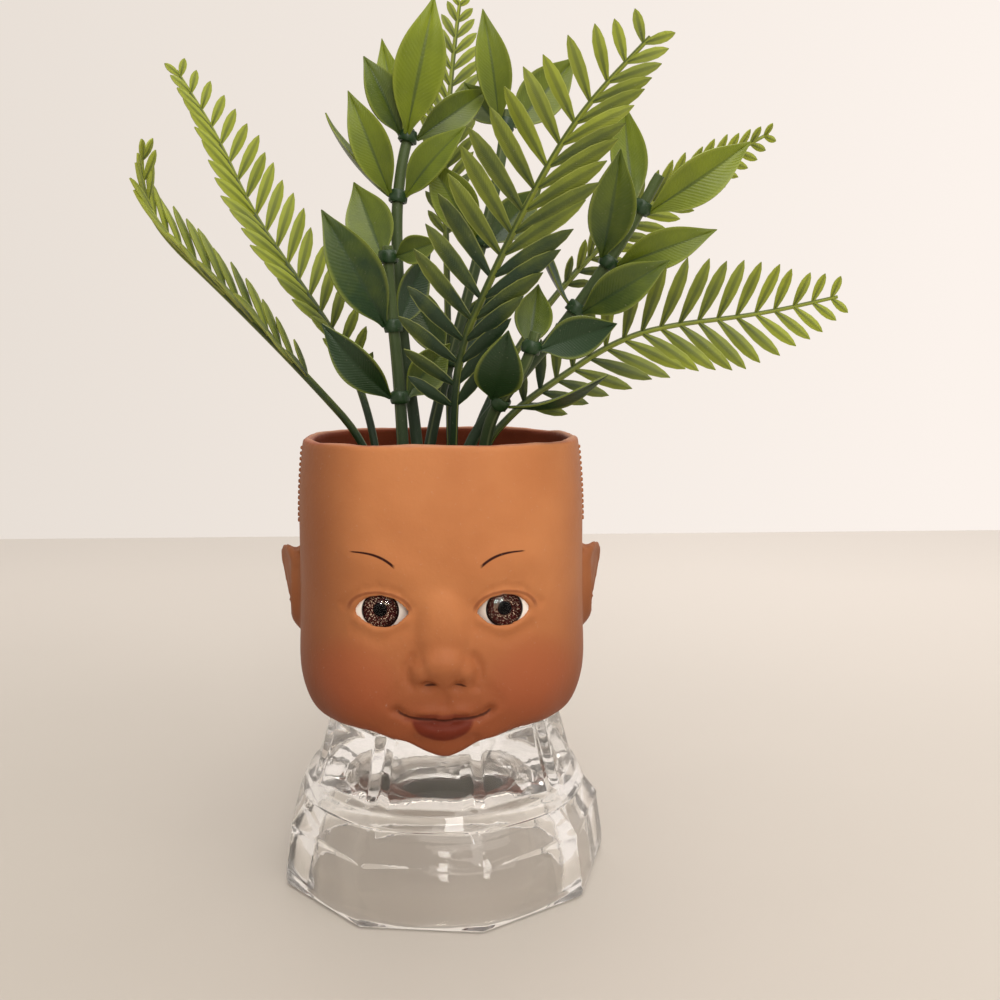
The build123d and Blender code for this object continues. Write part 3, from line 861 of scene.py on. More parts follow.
# %% Eyes: finishes
def white_finish():
    """Warm glossy cream, faintly uneven."""
    finish = Finish("eye_white")
    place = finish.place()
    cloud = finish.noise(place, 0.5, 3.0)
    tint = finish.mix(colour(248, 236, 222), colour(254, 246, 236), cloud)
    return finish.surface({"Base Color": tint, "Roughness": 0.16 + 0.1 * cloud, "Coat Weight": 0.4})


def iris_finish(side):
    """Brown rays, a dark rim and gold flakes round a black pupil."""
    finish = Finish("iris_left" if side < 0 else "iris_right")
    x, _, z = finish.axes(finish.place())
    middle = side * EYE_SPACING / 2
    across = (x - middle) / math.cos(math.radians(EYE_YAW))
    up = z - EYE_LEVEL
    radius = (across * across + up * up) ** 0.5
    angle = finish.node("Math", {"operation": "ARCTAN2"}, {0: up, 1: across})
    fan = finish.node("CombineXYZ", {}, {"X": angle * 6.0, "Y": radius * 0.35, "Z": float(side)})
    rays = finish.noise(fan, 1.6, 4.0, 0.65)
    flakes = finish.node("TexVoronoi", {}, {"Vector": finish.place(), "Scale": 2.3})
    near_pupil = 1 - radius.step(PUPIL_EDGE, 5.2)
    scatter = finish.noise(finish.place(), 1.4, 2.0).step(0.36, 0.56)
    gold = (1 - flakes.step(0.26, 0.38)) * (0.3 + 0.7 * near_pupil) * scatter
    gold = gold * radius.step(PUPIL_RADIUS, PUPIL_RADIUS + 0.3) * (1 - radius.step(4.7, 5.0))
    tint = finish.mix(colour(36, 6, 4), colour(70, 16, 12), rays.step(0.35, 0.7))
    tint = finish.mix(tint, colour(96, 36, 26), near_pupil * rays.step(0.4, 0.75) * 0.35)
    tint = finish.mix(tint, colour(26, 10, 8), radius.step(4.3, 5.0))
    tint = finish.mix(tint, colour(255, 222, 190), gold)
    tint = finish.mix(tint, colour(3, 2, 2), 1 - radius.step(PUPIL_RADIUS - 0.1, PUPIL_RADIUS + 0.1))
    return finish.surface({
        "Base Color": tint, "Roughness": 0.4 + 0.2 * rays, "Metallic": gold * 0.3,
        "Specular IOR Level": 0.05})


def dome_finish():
    """Clear acrylic: a mirror at its edges, and a plain window in its middle, so that the
    lamps' light reaches the disc behind it as straight as it does in so thin a dome."""
    finish = Finish("eye_lens")
    haze = finish.noise(finish.place(), 0.8, 3.0)
    clear = finish.node("BsdfTransparent", {}, {"Color": (1, 1, 1, 1)})
    mirror = finish.node("BsdfPrincipled", {}, {
        "Base Color": (1, 1, 1, 1), "Metallic": 1.0, "Roughness": 0.02 + 0.02 * haze})
    share = finish.node("Fresnel", {}, {"IOR": 1.45}) * 0.16
    both = finish.node("MixShader", {}, {0: share, 1: clear, 2: mirror})
    finish.node("OutputMaterial", {}, {"Surface": both})
    return finish.material


def make_eyes():
    """Both eyes, three castings each."""
    castings = {"white": make_white(), "iris": make_iris(), "lens": make_dome()}
    for side_name, side in (("left", -1), ("right", 1)):
        finishes = {"white": white_finish(), "iris": iris_finish(side), "lens": dome_finish()}
        for part, casting in castings.items():
            piece = seat_eye(casting, side, side_name + "_" + part)
            paint(piece, finishes[part])
            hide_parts(side_name + "_eye_" + part)
            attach(piece, "head")
            count(piece)
            if part == "lens":
                glint_pieces.objects.link(piece)
    for casting in castings.values():
        bpy.data.objects.remove(casting)


make_eyes()

# %% [markdown]
# The stand is a pressed-glass bowl, upside down. A mould presses it: a round bowl with nine
# flats round its lower half. Above them the round is pressed too, into nine broad flats, and
# between these stand narrow grooves that end in a point over each corner. Crossing solids
# would give hard edges, and a remesh would melt them too much. So the bell is turned in fine
# steps, and each of its points that stands outside a flat is pressed back on it. The last
# millimetre before a lower flat is eased, as the flame that polishes the glass leaves it.

# %% Glass stand: the turned bell
STAND_RADIUS = 53.0
STAND_HEIGHT = 52.5
BELL = [(1.2, 0.0), (0.98, 0.36), (0.905, 0.465), (0.837, 0.58), (0.79, 0.68), (0.758, 0.78)]
RIM_BEVEL = 1.2
FOOT_RADIUS = 37.2
FOOT_EDGE = 1.4
HOLLOW_RADIUS = 45.4
HOLLOW_HEIGHT = 36.3
HOLLOW_ROUND = 0.77
HOLLOW_EDGE = 0.5
SEAT_RADIUS = 25.4
SEAT_FLOOR = 50.2
SEAT_EDGE = 0.4
SEAT_CORNER = 0.3
BELL_STEPS = 504
COARSE_ROW = 0.9
FINE_ROW = 0.45
FINE_FROM, FINE_TO = 24.0, 42.0


def between(rows, height):
    """A radius read from rows of radius and height."""
    for (low_radius, low), (high_radius, high) in zip(rows, rows[1:]):
        if height <= high:
            break
    share = (height - low) / (high - low)
    return low_radius + (high_radius - low_radius) * share


def hollow_point(angle):
    """A point of the hollow's outline, from its foot to its top."""
    across = math.cos(math.radians(angle)) ** HOLLOW_ROUND
    up = math.sin(math.radians(angle))
    return HOLLOW_RADIUS * across, HOLLOW_HEIGHT * up


def make_bell():
    """The round bowl upside down, with its hollow and the shallow seat in its top."""
    rows = [(share * STAND_RADIUS, rise * STAND_HEIGHT) for share, rise in BELL]
    top = STAND_HEIGHT - FOOT_EDGE
    rows.append((FOOT_RADIUS, top))
    outline = [(0, HOLLOW_HEIGHT)] + [hollow_point(angle) for angle in range(87, 0, -3)]
    outline += [(HOLLOW_RADIUS, HOLLOW_EDGE), (HOLLOW_RADIUS + HOLLOW_EDGE, 0.0)]
    levels = [0.0, HOLLOW_EDGE]
    level = RIM_BEVEL
    while level < top:
        levels.append(level)
        level += FINE_ROW if FINE_FROM < level < FINE_TO else COARSE_ROW
    outline += [(between(rows, level), level) for level in levels]
    outline += arc(FOOT_EDGE, 0, 90, 5, (FOOT_RADIUS - FOOT_EDGE, top))[1:]
    outline += [(SEAT_RADIUS + SEAT_EDGE, STAND_HEIGHT), (SEAT_RADIUS, STAND_HEIGHT - SEAT_EDGE)]
    outline += [(SEAT_RADIUS, SEAT_FLOOR + SEAT_CORNER), (SEAT_RADIUS - SEAT_CORNER, SEAT_FLOOR)]
    outline.append((0, SEAT_FLOOR))
    return turned(outline, "pressed_glass_stand", BELL_STEPS)


glass = make_bell()
count(glass)

# %% Glass stand: flats pressed on the round
PANELS = 9
PANEL_TURN = 2.0
PANEL_LEVELS = [
    (0.977, 0.0), (1.0, 0.023), (1.0, 0.10), (0.985, 0.2), (0.962, 0.35), (0.972, 0.375),
    (0.945, 0.4), (0.895, 0.475), (0.842, 0.58), (0.805, 0.69), (0.783, 0.8), (0.77, 1.05)]
NARROW_HALF = 5.0
FLUTE_DEPTH = 1.6
FLUTE_FOOT = 22.0
FLUTE_RUN = 12.0
UPPER_EASE = 0.03
LOWER_EASE = 1.2


def softer(first, second, ease):
    """The smaller of two lengths, with a round passage where they are alike."""
    share = max(0, min(1, 0.5 + 0.5 * (second - first) / ease))
    return second + (first - second) * share - ease * share * (1 - share)


def press_flats():
    """Presses every outer point back on the flat that it faces, and not the hollow or the seat."""
    glass.data.transform(Matrix.Rotation(math.radians(PANEL_TURN), 4, "Z"))
    rows = [(share * STAND_RADIUS, rise * STAND_HEIGHT) for share, rise in PANEL_LEVELS]
    step = 360 / PANELS
    broad = math.cos(math.radians(step / 2 - NARROW_HALF))
    for vertex in glass.data.vertices:
        x, y, z = vertex.co / MM
        radius = math.hypot(x, y)
        in_hollow = radius < HOLLOW_RADIUS + 0.6 and z < HOLLOW_HEIGHT - 4
        if in_hollow or radius < FOOT_RADIUS - 8:
            continue
        turn = (math.degrees(math.atan2(y, x)) - PANEL_TURN) % step - step / 2
        flat = between(rows, z) * math.cos(math.radians(step / 2))
        to_side = math.cos(math.radians(turn))
        reach = softer(radius, radius * broad / to_side, UPPER_EASE)
        pressed = softer(reach, flat / to_side, LOWER_EASE)
        rise = max(0.01, min(1, (z - FLUTE_FOOT) / FLUTE_RUN))
        from_joint = (step / 2 - abs(turn)) / (NARROW_HALF * rise)
        pressed = (pressed - FLUTE_DEPTH * rise * max(0, 1 - from_joint)) / radius
        vertex.co.x *= pressed
        vertex.co.y *= pressed


press_flats()
modify(glass, "SMOOTH", factor=0.4, iterations=2)
smooth(glass, 70)
print("flats:", 2 * PANELS, "flutes:", PANELS)


# %% Glass stand: finish
def glass_finish():
    """Clear pressed glass: faintly warm, wavy, and duller where a little dust lies."""
    finish = Finish("pressed_glass")
    place = finish.place()
    wave = finish.noise(place, 0.06, 2.0)
    ripple = finish.noise(place, 0.35, 2.0)
    dust = finish.noise(place, 1.6, 4.0, 0.7)
    normal = finish.bump(wave + 0.12 * ripple, 0.35 * MM)
    return finish.surface({
        "Base Color": (1.0, 0.99, 0.97, 1), "Transmission Weight": 1.0, "IOR": 1.5, "Alpha": 0.93,
        "Roughness": 0.015 + 0.1 * dust.step(0.6, 0.9), "Normal": normal})


paint(glass, glass_finish())
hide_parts("glass_stand")
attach(glass, "stand")
count(glass)


# %% [markdown]
# The greenery is pushed into the foam in eleven stems. Their routes are the ones of the
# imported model, written as shares of two sizes, so a frond can be moved by hand. A real stem
# bends without corners, so each route's corners are cut again and again, which leads to a
# smooth curve. A frond is a rod with pairs of leaflets; a sprig is a rod with rings of leaves.

# %% Greenery: routes of the fronds
SPREAD = 100.0
RISE = 140.0
FOAM_TOP = 125.9
PEG_DEPTH = 18.0
PEG_RISE = 8.0

# The path, the pairs of leaflets, the bare share of the path, the roll, the fold of the two
# sides, the sweep of the left and right leaflets in degrees, their length as a share, and how
# yellow they are.
FRONDS = {
    "fern_far_left": (
        [(-0.212, 0.01, 0), (-0.425, -0.04, 0.138), (-0.651, -0.10, 0.311), (-0.81, -0.15, 0.424),
         (-0.848, -0.18, 0.505), (-0.84, -0.20, 0.575)],
        15, 0.26, 74, 30, 30, 30, 0.9, 0.55),
    "fern_left": (
        [(-0.205, 0.10, 0), (-0.283, 0.16, 0.148), (-0.387, 0.20, 0.267), (-0.506, 0.25, 0.389),
         (-0.631, 0.30, 0.523), (-0.737, 0.34, 0.693), (-0.87, 0.38, 0.845)],
        19, 0.14, 32, 32, 38, 48, 0.8, 0.95),
    "fern_top": (
        [(0.03, 0.20, 0), (0.024, 0.28, 0.308), (0.017, 0.36, 0.644), (0.048, 0.42, 0.888),
         (0.074, 0.455, 1.03)],
        15, 0.46, 10, 15, 42, 42, 0.66, 0.35),
    "fern_front": (
        [(0.033, -0.17, 0), (0.046, -0.25, 0.17), (0.132, -0.31, 0.311), (0.225, -0.36, 0.447),
         (0.317, -0.40, 0.566), (0.407, -0.43, 0.656), (0.555, -0.455, 0.764)],
        18, 0.10, -8, 12, 60, 34, 1.15, 0.3),
    "fern_right": (
        [(0.12, 0.04, 0), (0.253, 0.06, 0.061), (0.383, 0.08, 0.123), (0.545, 0.10, 0.199),
         (0.711, 0.12, 0.242), (1.046, 0.14, 0.27), (1.31, 0.14, 0.312)],
        18, 0.14, 0, 14, 60, 52, 0.98, 0.65),
    "fern_back": (
        [(0.079, 0.13, 0), (0.265, 0.24, 0.211), (0.507, 0.33, 0.417), (0.754, 0.40, 0.566),
         (0.969, 0.45, 0.656), (1.17, 0.50, 0.735)],
        16, 0.40, 26, 20, 44, 44, 0.66, 0.5),
}

# %% Greenery: routes of the sprigs
# The path, then each ring of leaves: the run of the path, the share along it and its leaves,
# each with its tip, its width as a share and its roll.
SPRIGS = {
    "sprig_left": (
        [(-0.116, -0.08, 0), (-0.131, -0.10, 0.16), (-0.151, -0.10, 0.30), (-0.156, -0.10, 0.405)],
        [(0, 0.62, [((-0.35, -0.15, 0.24), 0.85, -20), ((0.03, -0.02, 0.20), 0.9, 20)]),
         (1, 0.55, [((-0.34, -0.19, 0.47), 1.1, 5), ((-0.03, 0.02, 0.40), 0.8, 30)]),
         (2, 0.78, [((-0.262, 0.02, 0.55), 1.05, 0), ((0.0, -0.17, 0.41), 0.6, 0)])]),
    "sprig_centre_left": (
        [(-0.07, 0.0, 0), (-0.123, 0.02, 0.23), (-0.137, 0.035, 0.46), (-0.12, 0.05, 0.585),
         (-0.09, 0.06, 0.67)],
        [(2, 0.5, [((-0.35, 0.08, 0.705), 0.75, 75), ((-0.272, -0.02, 0.735), 0.85, 0),
                   ((0.08, -0.05, 0.66), 0.85, -25)]),
         (3, 0.8, [((-0.225, 0.0, 0.81), 0.85, 10), ((-0.177, 0.14, 0.876), 0.7, 0),
                   ((-0.012, -0.02, 0.93), 1.1, 0), ((0.16, 0.12, 0.77), 0.75, 10)])]),
    "sprig_centre": (
        [(-0.052, 0.08, 0), (0.085, 0.09, 0.30), (0.186, 0.10, 0.566), (0.215, 0.11, 0.72)],
        [(0, 0.6, [((-0.12, 0.19, 0.36), 0.9, 0), ((0.20, 0.18, 0.34), 0.9, 0)]),
         (1, 0.5, [((-0.035, 0.02, 0.60), 1.0, 0), ((0.33, 0.18, 0.56), 0.9, 0)]),
         (2, 0.8, [((0.135, 0.04, 0.92), 0.8, 10), ((0.44, 0.17, 0.85), 1.05, 0),
                   ((0.08, 0.17, 0.79), 0.75, 0)])]),
    "sprig_right": (
        [(0.054, -0.05, 0), (0.25, -0.08, 0.135), (0.36, -0.095, 0.225), (0.46, -0.11, 0.325),
         (0.55, -0.13, 0.42), (0.65, -0.15, 0.55)],
        [(2, 0.5, [((0.67, -0.22, 0.37), 0.9, 0), ((0.273, -0.17, 0.463), 0.75, 72)]),
         (3, 0.5, [((0.517, -0.24, 0.59), 1.0, 0), ((0.81, -0.21, 0.434), 0.82, 0)]),
         (4, 0.5, [((0.552, -0.08, 0.71), 0.8, 0), ((0.912, -0.18, 0.617), 0.95, 10)])]),
    "sprig_low_right": (
        [(0.123, -0.17, 0), (0.148, -0.22, 0.05), (0.20, -0.275, 0.105), (0.248, -0.30, 0.16),
         (0.27, -0.31, 0.22)],
        [(1, 0.5, [((0.185, -0.42, 0.22), 1.0, 0), ((0.46, -0.42, 0.135), 0.7, 70)]),
         (3, 0.5, [((0.49, -0.38, 0.235), 0.85, -8), ((0.285, -0.22, 0.32), 0.8, 0)])]),
}

# %% Greenery: smooth lines
def plant_point(shares):
    """A point of the greenery, in millimetres, from its shares."""
    x, y, z = shares
    return Vector((x * SPREAD, y * SPREAD, RIM_LEVEL + z * RISE))


def route(path):
    """The whole way of a stem: straight down in the foam, then along its path."""
    entry = plant_point(path[0])
    foot = Vector((entry.x, entry.y, FOAM_TOP - PEG_DEPTH))
    leave = Vector((entry.x, entry.y, FOAM_TOP + PEG_RISE))
    return [foot, leave] + [plant_point(point) for point in path[1:]]


def eased(points, rounds=3):
    """A line with its corners cut, its two ends kept."""
    for _ in range(rounds):
        line = [points[0]]
        for here, there in zip(points, points[1:]):
            line += [here.lerp(there, 0.25), here.lerp(there, 0.75)]
        points = line + [points[-1]]
    return points


def spot(line, share):
    """The point and the direction at a share of a line's length."""
    lengths = [(there - here).length for here, there in zip(line, line[1:])]
    rest = share * sum(lengths)
    for here, there, length in zip(line, line[1:], lengths):
        if rest <= length:
            break
        rest -= length
    return here.lerp(there, min(1, rest / length)), (there - here).normalized()


def facing(direction, roll):
    """Which way a leaf's upper side looks: towards the viewer, then rolled."""
    towards = Vector((0, -1, 0))
    towards = (towards - direction * towards.dot(direction)).normalized()
    across = direction.cross(towards)
    return towards * math.cos(math.radians(roll)) + across * math.sin(math.radians(roll))


print("stems:", len(FRONDS) + len(SPRIGS))

# %% [markdown]
# A rod follows its line as a curve with a round section, thinner towards the tip, and is then
# converted to a mesh. Two fine lines along it tell where the halves of its mould met. Every
# piece of greenery also carries numbers at its points, which its finish reads: how far along
# the stem, how far along and across the leaf, and a tone.

# %% Greenery: rods
def carry(piece, name, values):
    """Stores one number for each point of a mesh."""
    layer = piece.data.attributes.get(name) or piece.data.attributes.new(name, "FLOAT", "POINT")
    layer.data.foreach_set("value", values)


def carry_same(piece, **numbers):
    """Stores numbers that are the same at all points of a mesh."""
    for name, value in numbers.items():
        carry(piece, name, [value] * len(piece.data.vertices))


def rod(line, thick, thin, name, bevel=3):
    """A round rod along a line, tapering from its foot to its tip."""
    data = bpy.data.curves.new(name, "CURVE")
    data.dimensions = "3D"
    data.bevel_depth = MM
    data.bevel_resolution = bevel
    data.use_fill_caps = True
    spline = data.splines.new("POLY")
    spline.points.add(len(line) - 1)
    for number, (point, place) in enumerate(zip(spline.points, line)):
        point.co = (*(place * MM), 1)
        point.radius = thick + (thin - thick) * (number / (len(line) - 1)) ** 1.5
    piece = bpy.data.objects.new(name, data)
    bpy.context.scene.collection.objects.link(piece)
    activate(piece)
    bpy.ops.object.convert(target="MESH")
    piece = bpy.context.object
    outward(piece)
    total = len(piece.data.vertices)
    turns = [number * len(line) / total % 1 for number in range(total)]
    carry(piece, "across", [abs(4 * turn % 2 - 1) for turn in turns])
    carry_same(piece, along=0.0, tone=0.4)
    low = min(place.z for place in line)
    high = max(place.z for place in line)
    carry(piece, "reach", [(vertex.co.z / MM - low) / (high - low) for vertex in piece.data.vertices])
    return piece


# %% [markdown]
# A leaflet is narrow at its foot, widest past its middle and blunt at its end, with a raised
# rib. One is modelled, from a grid whose rows are drawn to their widths, and then copied for
# every place. The grid's own rows and columns become the numbers that the finish reads.

# %% Greenery: one blade
# Rows of a blade: the share along it, and half its width there.
LEAFLET_ROWS = [
    (0.0, 0.10), (0.10, 0.20), (0.28, 0.38), (0.50, 0.5), (0.72, 0.47), (0.89, 0.28), (1.0, 0.02)]
LEAF_ROWS = [
    (0.0, 0.07), (0.05, 0.09), (0.12, 0.21), (0.22, 0.37), (0.34, 0.47), (0.45, 0.5), (0.56, 0.48),
    (0.67, 0.41), (0.77, 0.30), (0.86, 0.18), (0.93, 0.09), (1.0, 0.012)]


def make_blade(rows, columns, rib, sag, name):
    """One leaf of unit length and width, with a raised rib and its two halves bent down."""
    blade = add(
        bpy.ops.mesh.primitive_grid_add, x_subdivisions=len(rows) - 1, y_subdivisions=columns, size=1)
    blade.name = name
    starts = [number / (len(rows) - 1) - 0.5 for number in range(len(rows))]
    aside = 10
    carry(blade, "across", [2 * vertex.co.y for vertex in blade.data.vertices])
    slots = [round((vertex.co.x + 0.5) * (len(rows) - 1)) for vertex in blade.data.vertices]
    carry(blade, "along", [rows[number][0] for number in slots])
    for start, (place, half) in reversed(list(zip(starts, rows))):
        pick(blade, lambda point: abs(point.x - start) < 1e-4)
        bpy.ops.transform.resize(value=(1, 2 * half, 1), center_override=(start, 0, 0))
        bpy.ops.transform.translate(value=(place - start + aside, 0, 0))
        bpy.ops.object.mode_set(mode="OBJECT")
    blade.data.transform(Matrix.Translation((-aside, 0, 0)))
    pick(blade, lambda point: abs(point.y) < 1e-4 and point.x < 0.97)
    bpy.ops.transform.translate(value=(0, 0, rib))
    bpy.ops.object.mode_set(mode="OBJECT")
    for vertex in blade.data.vertices:
        vertex.co.z -= sag * (2 * vertex.co.y) ** 2
    return blade


leaflet_blade = make_blade(LEAFLET_ROWS, 4, 0.07, 0.06, "leaflet_blade")
leaf_blade = make_blade(LEAF_ROWS, 8, -0.05, -0.16, "leaf_blade")
count(leaflet_blade)
count(leaf_blade)


# %% Greenery: placing a blade
def place_blade(blade, base, course, upper, length, width, camber=0.0, twist=0.0, **numbers):
    """A copy of a blade between its foot and its tip, arched by a camber and twisted."""
    piece = duplicate(blade)
    side = upper.cross(course)
    for vertex in piece.data.vertices:
        share, across, height = vertex.co
        turn = math.radians(twist * share)
        wide = across * width
        lift = height * width + camber * 4 * share * (1 - share)
        sideways = wide * math.cos(turn) - lift * math.sin(turn)
        raised = wide * math.sin(turn) + lift * math.cos(turn)
        place = base + course * (share * length) + side * sideways + upper * raised
        vertex.co = place * MM
    carry_same(piece, **numbers)
    return piece


def thicken(piece, thickness):
    """Gives a sheet its thickness, half to each side, and turns its faces outwards."""
    modify(piece, "SOLIDIFY", thickness=thickness * MM, offset=0.0, use_even_offset=False)
    outward(piece, merge=False)


# %% [markdown]
# Leaflets stand in pairs, short at both ends of the frond and long in its middle. A short one
# is narrow too, but less so. They hold a small and steady difference in droop and twist, from
# a seeded random choice, so that no two look cast alike, and the frond looks the same each
# time the scene is made.

# %% Greenery: fronds
LEAFLET_LENGTH = 24.0
LEAFLET_WIDTH = 4.5
LEAST_WIDTH = 0.4
LEAFLET_THICKNESS = 0.5
RACHIS_THICK = 1.35
RACHIS_THIN = 0.55
FIRST_SHARE, LAST_SHARE = 0.02, 0.98
LEAST_SWELL, SWELL_START = 0.32, 0.14


def make_frond(name):
    """One moulded fern frond, its rod and leaflets joined."""
    path, pairs, bare, roll, fold, sweep_left, sweep_right, size, hue = FRONDS[name]
    chance = random.Random(name)
    points = route(path)
    line = eased(points)
    leaf_line = eased(points[1:])
    sheets = []
    for number in range(pairs):
        share = number / (pairs - 1)
        along = bare + (1 - bare) * (FIRST_SHARE + (LAST_SHARE - FIRST_SHARE) * share)
        place, heading = spot(leaf_line, along)
        up = facing(heading, roll)
        across = heading.cross(up)
        swell = math.sin(math.pi * (SWELL_START + (1 - SWELL_START) * share))
        length = LEAFLET_LENGTH * size * (LEAST_SWELL + (1 - LEAST_SWELL) * swell)
        for side, sweep in ((-1, sweep_left), (1, sweep_right)):
            lean = math.radians(sweep + chance.uniform(-3, 3))
            tilt = math.radians(fold + chance.uniform(-3, 3))
            outwards = across * (side * math.cos(tilt)) + up * math.sin(tilt)
            course = heading * math.cos(lean) + outwards * math.sin(lean)
            flat = (up - course * up.dot(course)).normalized()
            width = LEAFLET_WIDTH * (LEAST_WIDTH + (1 - LEAST_WIDTH) * length / LEAFLET_LENGTH)
            sheets.append(place_blade(
                leaflet_blade, place, course, flat, length * chance.uniform(0.95, 1.03), width,
                camber=length * chance.uniform(0.0, 0.07), twist=chance.uniform(-12, 12),
                reach=along, tone=hue + chance.uniform(-0.25, 0.25)))
    leaves = join(sheets, name + "_leaflets")
    thicken(leaves, LEAFLET_THICKNESS)
    rachis = rod(line, RACHIS_THICK, RACHIS_THIN, name + "_rod", 2)
    frond = join([rachis, leaves], name.replace("fern", "frond"))
    smooth(frond, 50)
    return frond


# %% [markdown]
# A broad leaf is folded a little along its rib and ends in a drawn-out point. Its ring is a
# short rough sleeve pushed on the stem. Leaves are one mould, so all copies share a shape,
# but each is bent by hand in another way.

# %% Greenery: sprigs
LEAF_WIDTH = 14.0
LEAF_THICKNESS = 0.45
LEAF_CAMBER = 0.07
STEM_THICK = 1.9
STEM_THIN = 1.6
RING_BORE = 2.1
RING_WALL = 0.8
RING_HEIGHT = 3.8
RING_ROUGH = 0.2


def make_ring(middle, axis, name):
    """The sleeve of a ring of leaves, flared at its foot and rough outside."""
    half = RING_HEIGHT / 2
    outer = RING_BORE + RING_WALL
    outline = [
        (RING_BORE, half), (RING_BORE, -half), (outer - 0.4, -half), (outer - 0.1, 0.4 - half),
        (outer, -half / 3), (outer - 0.1, half / 3), (outer - 0.3, half * 0.8), (outer - 0.6, half),
        (RING_BORE, half)]
    ring = turned(outline, name, 20)
    for vertex in ring.data.vertices:
        x, y, z = vertex.co / MM
        if math.hypot(x, y) > RING_BORE + 0.1:
            away = 1 - RING_ROUGH * noise(Vector((x, y, z)) * 0.9 + middle)
            vertex.co = Vector((x * away, y * away, z)) * MM
    turn = axis.to_track_quat("Z", "Y").to_matrix().to_4x4()
    ring.data.transform(Matrix.Translation(middle * MM) @ turn)
    carry_same(ring, along=0.0, across=0.4, tone=0.0, reach=0.15)
    return ring


def make_whorl(name, points, number, run, share, leaves):
    """One ring with its leaves."""
    low, high = points[run + 1], points[run + 2]
    axis = (high - low).normalized()
    middle = low.lerp(high, share)
    chance = random.Random(name + str(number))
    sheets = []
    for tip_shares, width_share, roll in leaves:
        tip = plant_point(tip_shares)
        away = tip - middle
        away = (away - axis * away.dot(axis)).normalized()
        base = middle + away * (RING_BORE + RING_WALL * 0.75)
        course = tip - base
        length = course.length
        course = course.normalized()
        upper = facing(course, roll)
        camber = math.copysign(LEAF_CAMBER * length, upper.dot(away))
        sheets.append(place_blade(
            leaf_blade, base, course, upper, length, LEAF_WIDTH * width_share, camber=camber,
            twist=chance.uniform(-8, 8), reach=(middle.z - RIM_LEVEL) / RISE, tone=chance.random()))
    sheet = join(sheets, name + "_sheet")
    modify(sheet, "SUBSURF", levels=1, render_levels=1)
    thicken(sheet, LEAF_THICKNESS)
    whorl = join([sheet, make_ring(middle, axis, name + "_ring")], name + "_whorl_" + str(number))
    smooth(whorl, 50)
    return whorl


# %% [markdown]
# The greenery is darker low down and at the foot of a frond, and yellower higher up and at its
# tips, with paler edges where the moulded sheet is thinnest, and a film of dust. The finish
# reads the numbers that the points carry, mixes its greens by them, and lets noise break the
# joins up.

# %% Greenery: finishes
def green_finish(name, dark, light, edge, stripe, rough):
    """A dyed plastic leaf, darker low down and towards its foot and lighter higher up, with paler edges,
    a dark rib and dust.
    """
    finish = Finish(name)
    place = finish.place()
    cloud = finish.noise(place, 0.12, 4.0)
    speck = finish.noise(place, 1.4, 3.0, 0.7)
    reach = finish.value("reach")
    along = finish.value("along")
    across = abs(finish.value("across"))
    tone = finish.value("tone")
    share = (reach - 0.22) * 1.2 + along * 0.25 + (tone - 0.5) * 0.75 + (cloud - 0.5) * 0.6
    tint = finish.mix(dark, light, share.clamp())
    tint = finish.mix(tint, dark, (1 - across.step(stripe * 0.3, stripe)) * (1 - along * 0.6) * 0.7)
    tint = finish.mix(tint, edge, across.step(0.8, 1.0) * 0.4)
    tint = finish.mix(tint, colour(190, 184, 160), speck.step(0.64, 0.76) * 0.25)
    veins = finish.node("TexWave", {"wave_type": "BANDS"}, {
        "Vector": finish.node("CombineXYZ", {}, {"X": along * 9.0 - across * 1.5, "Y": 0.0, "Z": 0.0}),
        "Scale": 1.0, "Distortion": 0.6, "Detail": 1.0})
    normal = finish.bump(veins * 0.25 + speck * 0.3 + cloud * 0.5, 0.14 * MM)
    return finish.surface({
        "Base Color": tint, "Roughness": rough + 0.18 * cloud, "Normal": normal,
        "Specular IOR Level": 0.4})


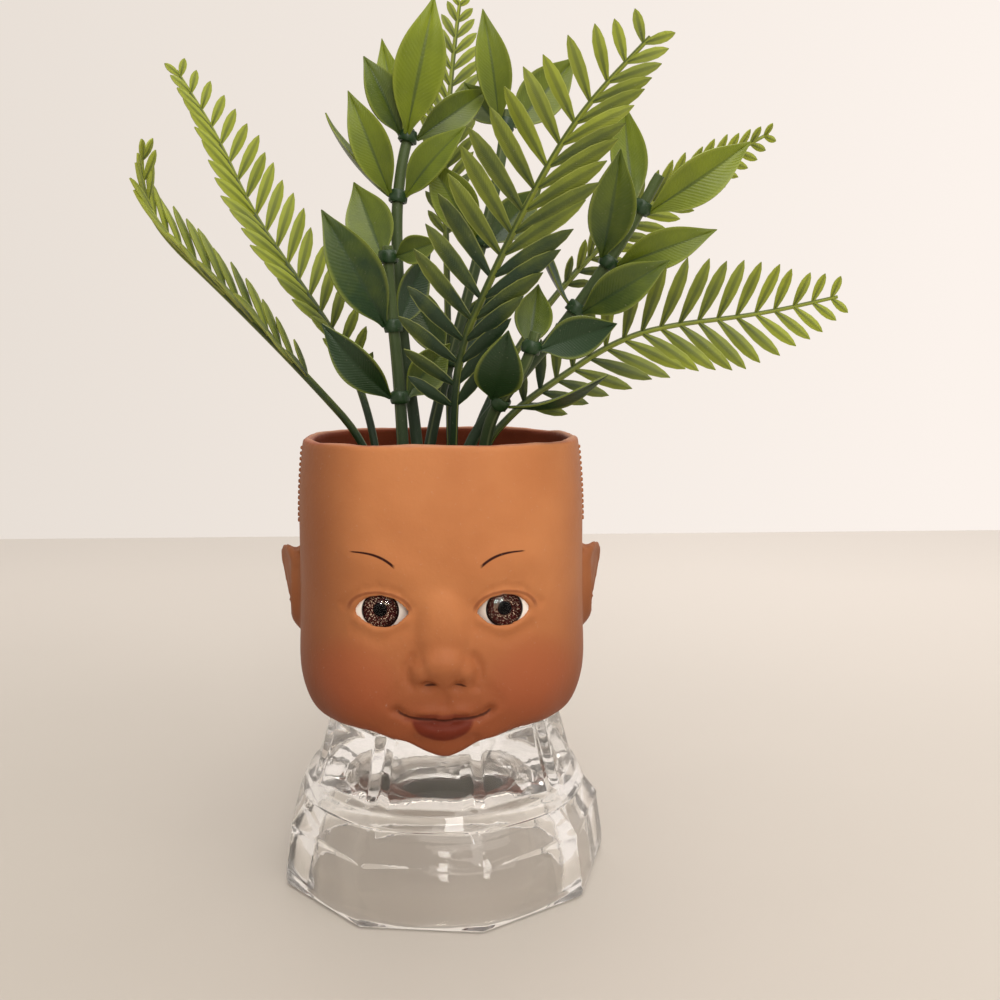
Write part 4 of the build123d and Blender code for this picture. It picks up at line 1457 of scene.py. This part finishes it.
FERN_DARK = green_finish(
    "fern_plastic", colour(28, 50, 24), colour(156, 166, 46), colour(186, 192, 100), 0.45, 0.36)
LEAF_LIME = green_finish(
    "leaf_plastic", colour(32, 58, 26), colour(130, 144, 22), colour(160, 170, 66), 0.12, 0.30)
STEM_GREEN = green_finish(
    "stem_plastic", colour(40, 58, 36), colour(80, 96, 46), colour(138, 144, 100), 0.1, 0.45)

for name in FRONDS:
    frond = make_frond(name)
    paint(frond, FERN_DARK)
    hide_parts(name)
    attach(frond, "planting")
    count(frond)

for name, (path, whorls) in SPRIGS.items():
    points = route(path)
    stem = rod(eased(points), STEM_THICK, STEM_THIN, name + "_rod")
    paint(stem, STEM_GREEN)
    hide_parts(name + "_stem")
    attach(stem, "planting")
    for number, (run, share, leaves) in enumerate(whorls, start=1):
        whorl = make_whorl(name, points, number, run, share, leaves)
        paint(whorl, LEAF_LIME)
        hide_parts(name + "_leaves_" + str(number))
        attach(whorl, "planting")
        count(whorl)

for blade in (leaflet_blade, leaf_blade):
    bpy.data.objects.remove(blade)

# %% [markdown]
# Dry foam is cut from a block with a knife, and its skin is a mat of tiny burst bubbles. Only
# the stems' feet and a shadow of it show inside the head. A remeshed copy of its solid is
# roughened by noise, and its finish adds the pores that are too small to model, as bumps
# with painted shade in them.

# %% Foam block
FOAM_GRAIN = 1.1 * MM
FOAM_ROUGH = 0.35


def make_foam():
    """The foam with a crumbly skin."""
    foam = node_copy("foam_block", "dry_foam")
    modify(foam, "REMESH", mode="VOXEL", voxel_size=FOAM_GRAIN)
    outwards = [vertex.normal.copy() for vertex in foam.data.vertices]
    for vertex, normal in zip(foam.data.vertices, outwards):
        vertex.co += normal * FOAM_ROUGH * (noise(vertex.co / MM * 0.6) - 0.6) * MM
    smooth(foam, 60)
    return foam


def foam_finish():
    """Grey-green foam, with painted shade in its pores."""
    finish = Finish("dry_foam")
    pores = finish.node("TexVoronoi", {}, {"Vector": finish.place(), "Scale": 1.6})
    cloud = finish.noise(finish.place(), 0.1, 3.0)
    # Painted shade: darker in the pores.
    tint = finish.mix(colour(40, 44, 30), colour(86, 88, 62), pores.step(0.1, 0.6))
    tint = finish.mix(tint, colour(60, 58, 44), cloud * 0.5)
    return finish.surface({"Base Color": tint, "Roughness": 0.9, "Normal": finish.bump(pores, 0.4 * MM)})


foam = make_foam()
paint(foam, foam_finish())
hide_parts("foam_block")
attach(foam, "planting")
count(foam)
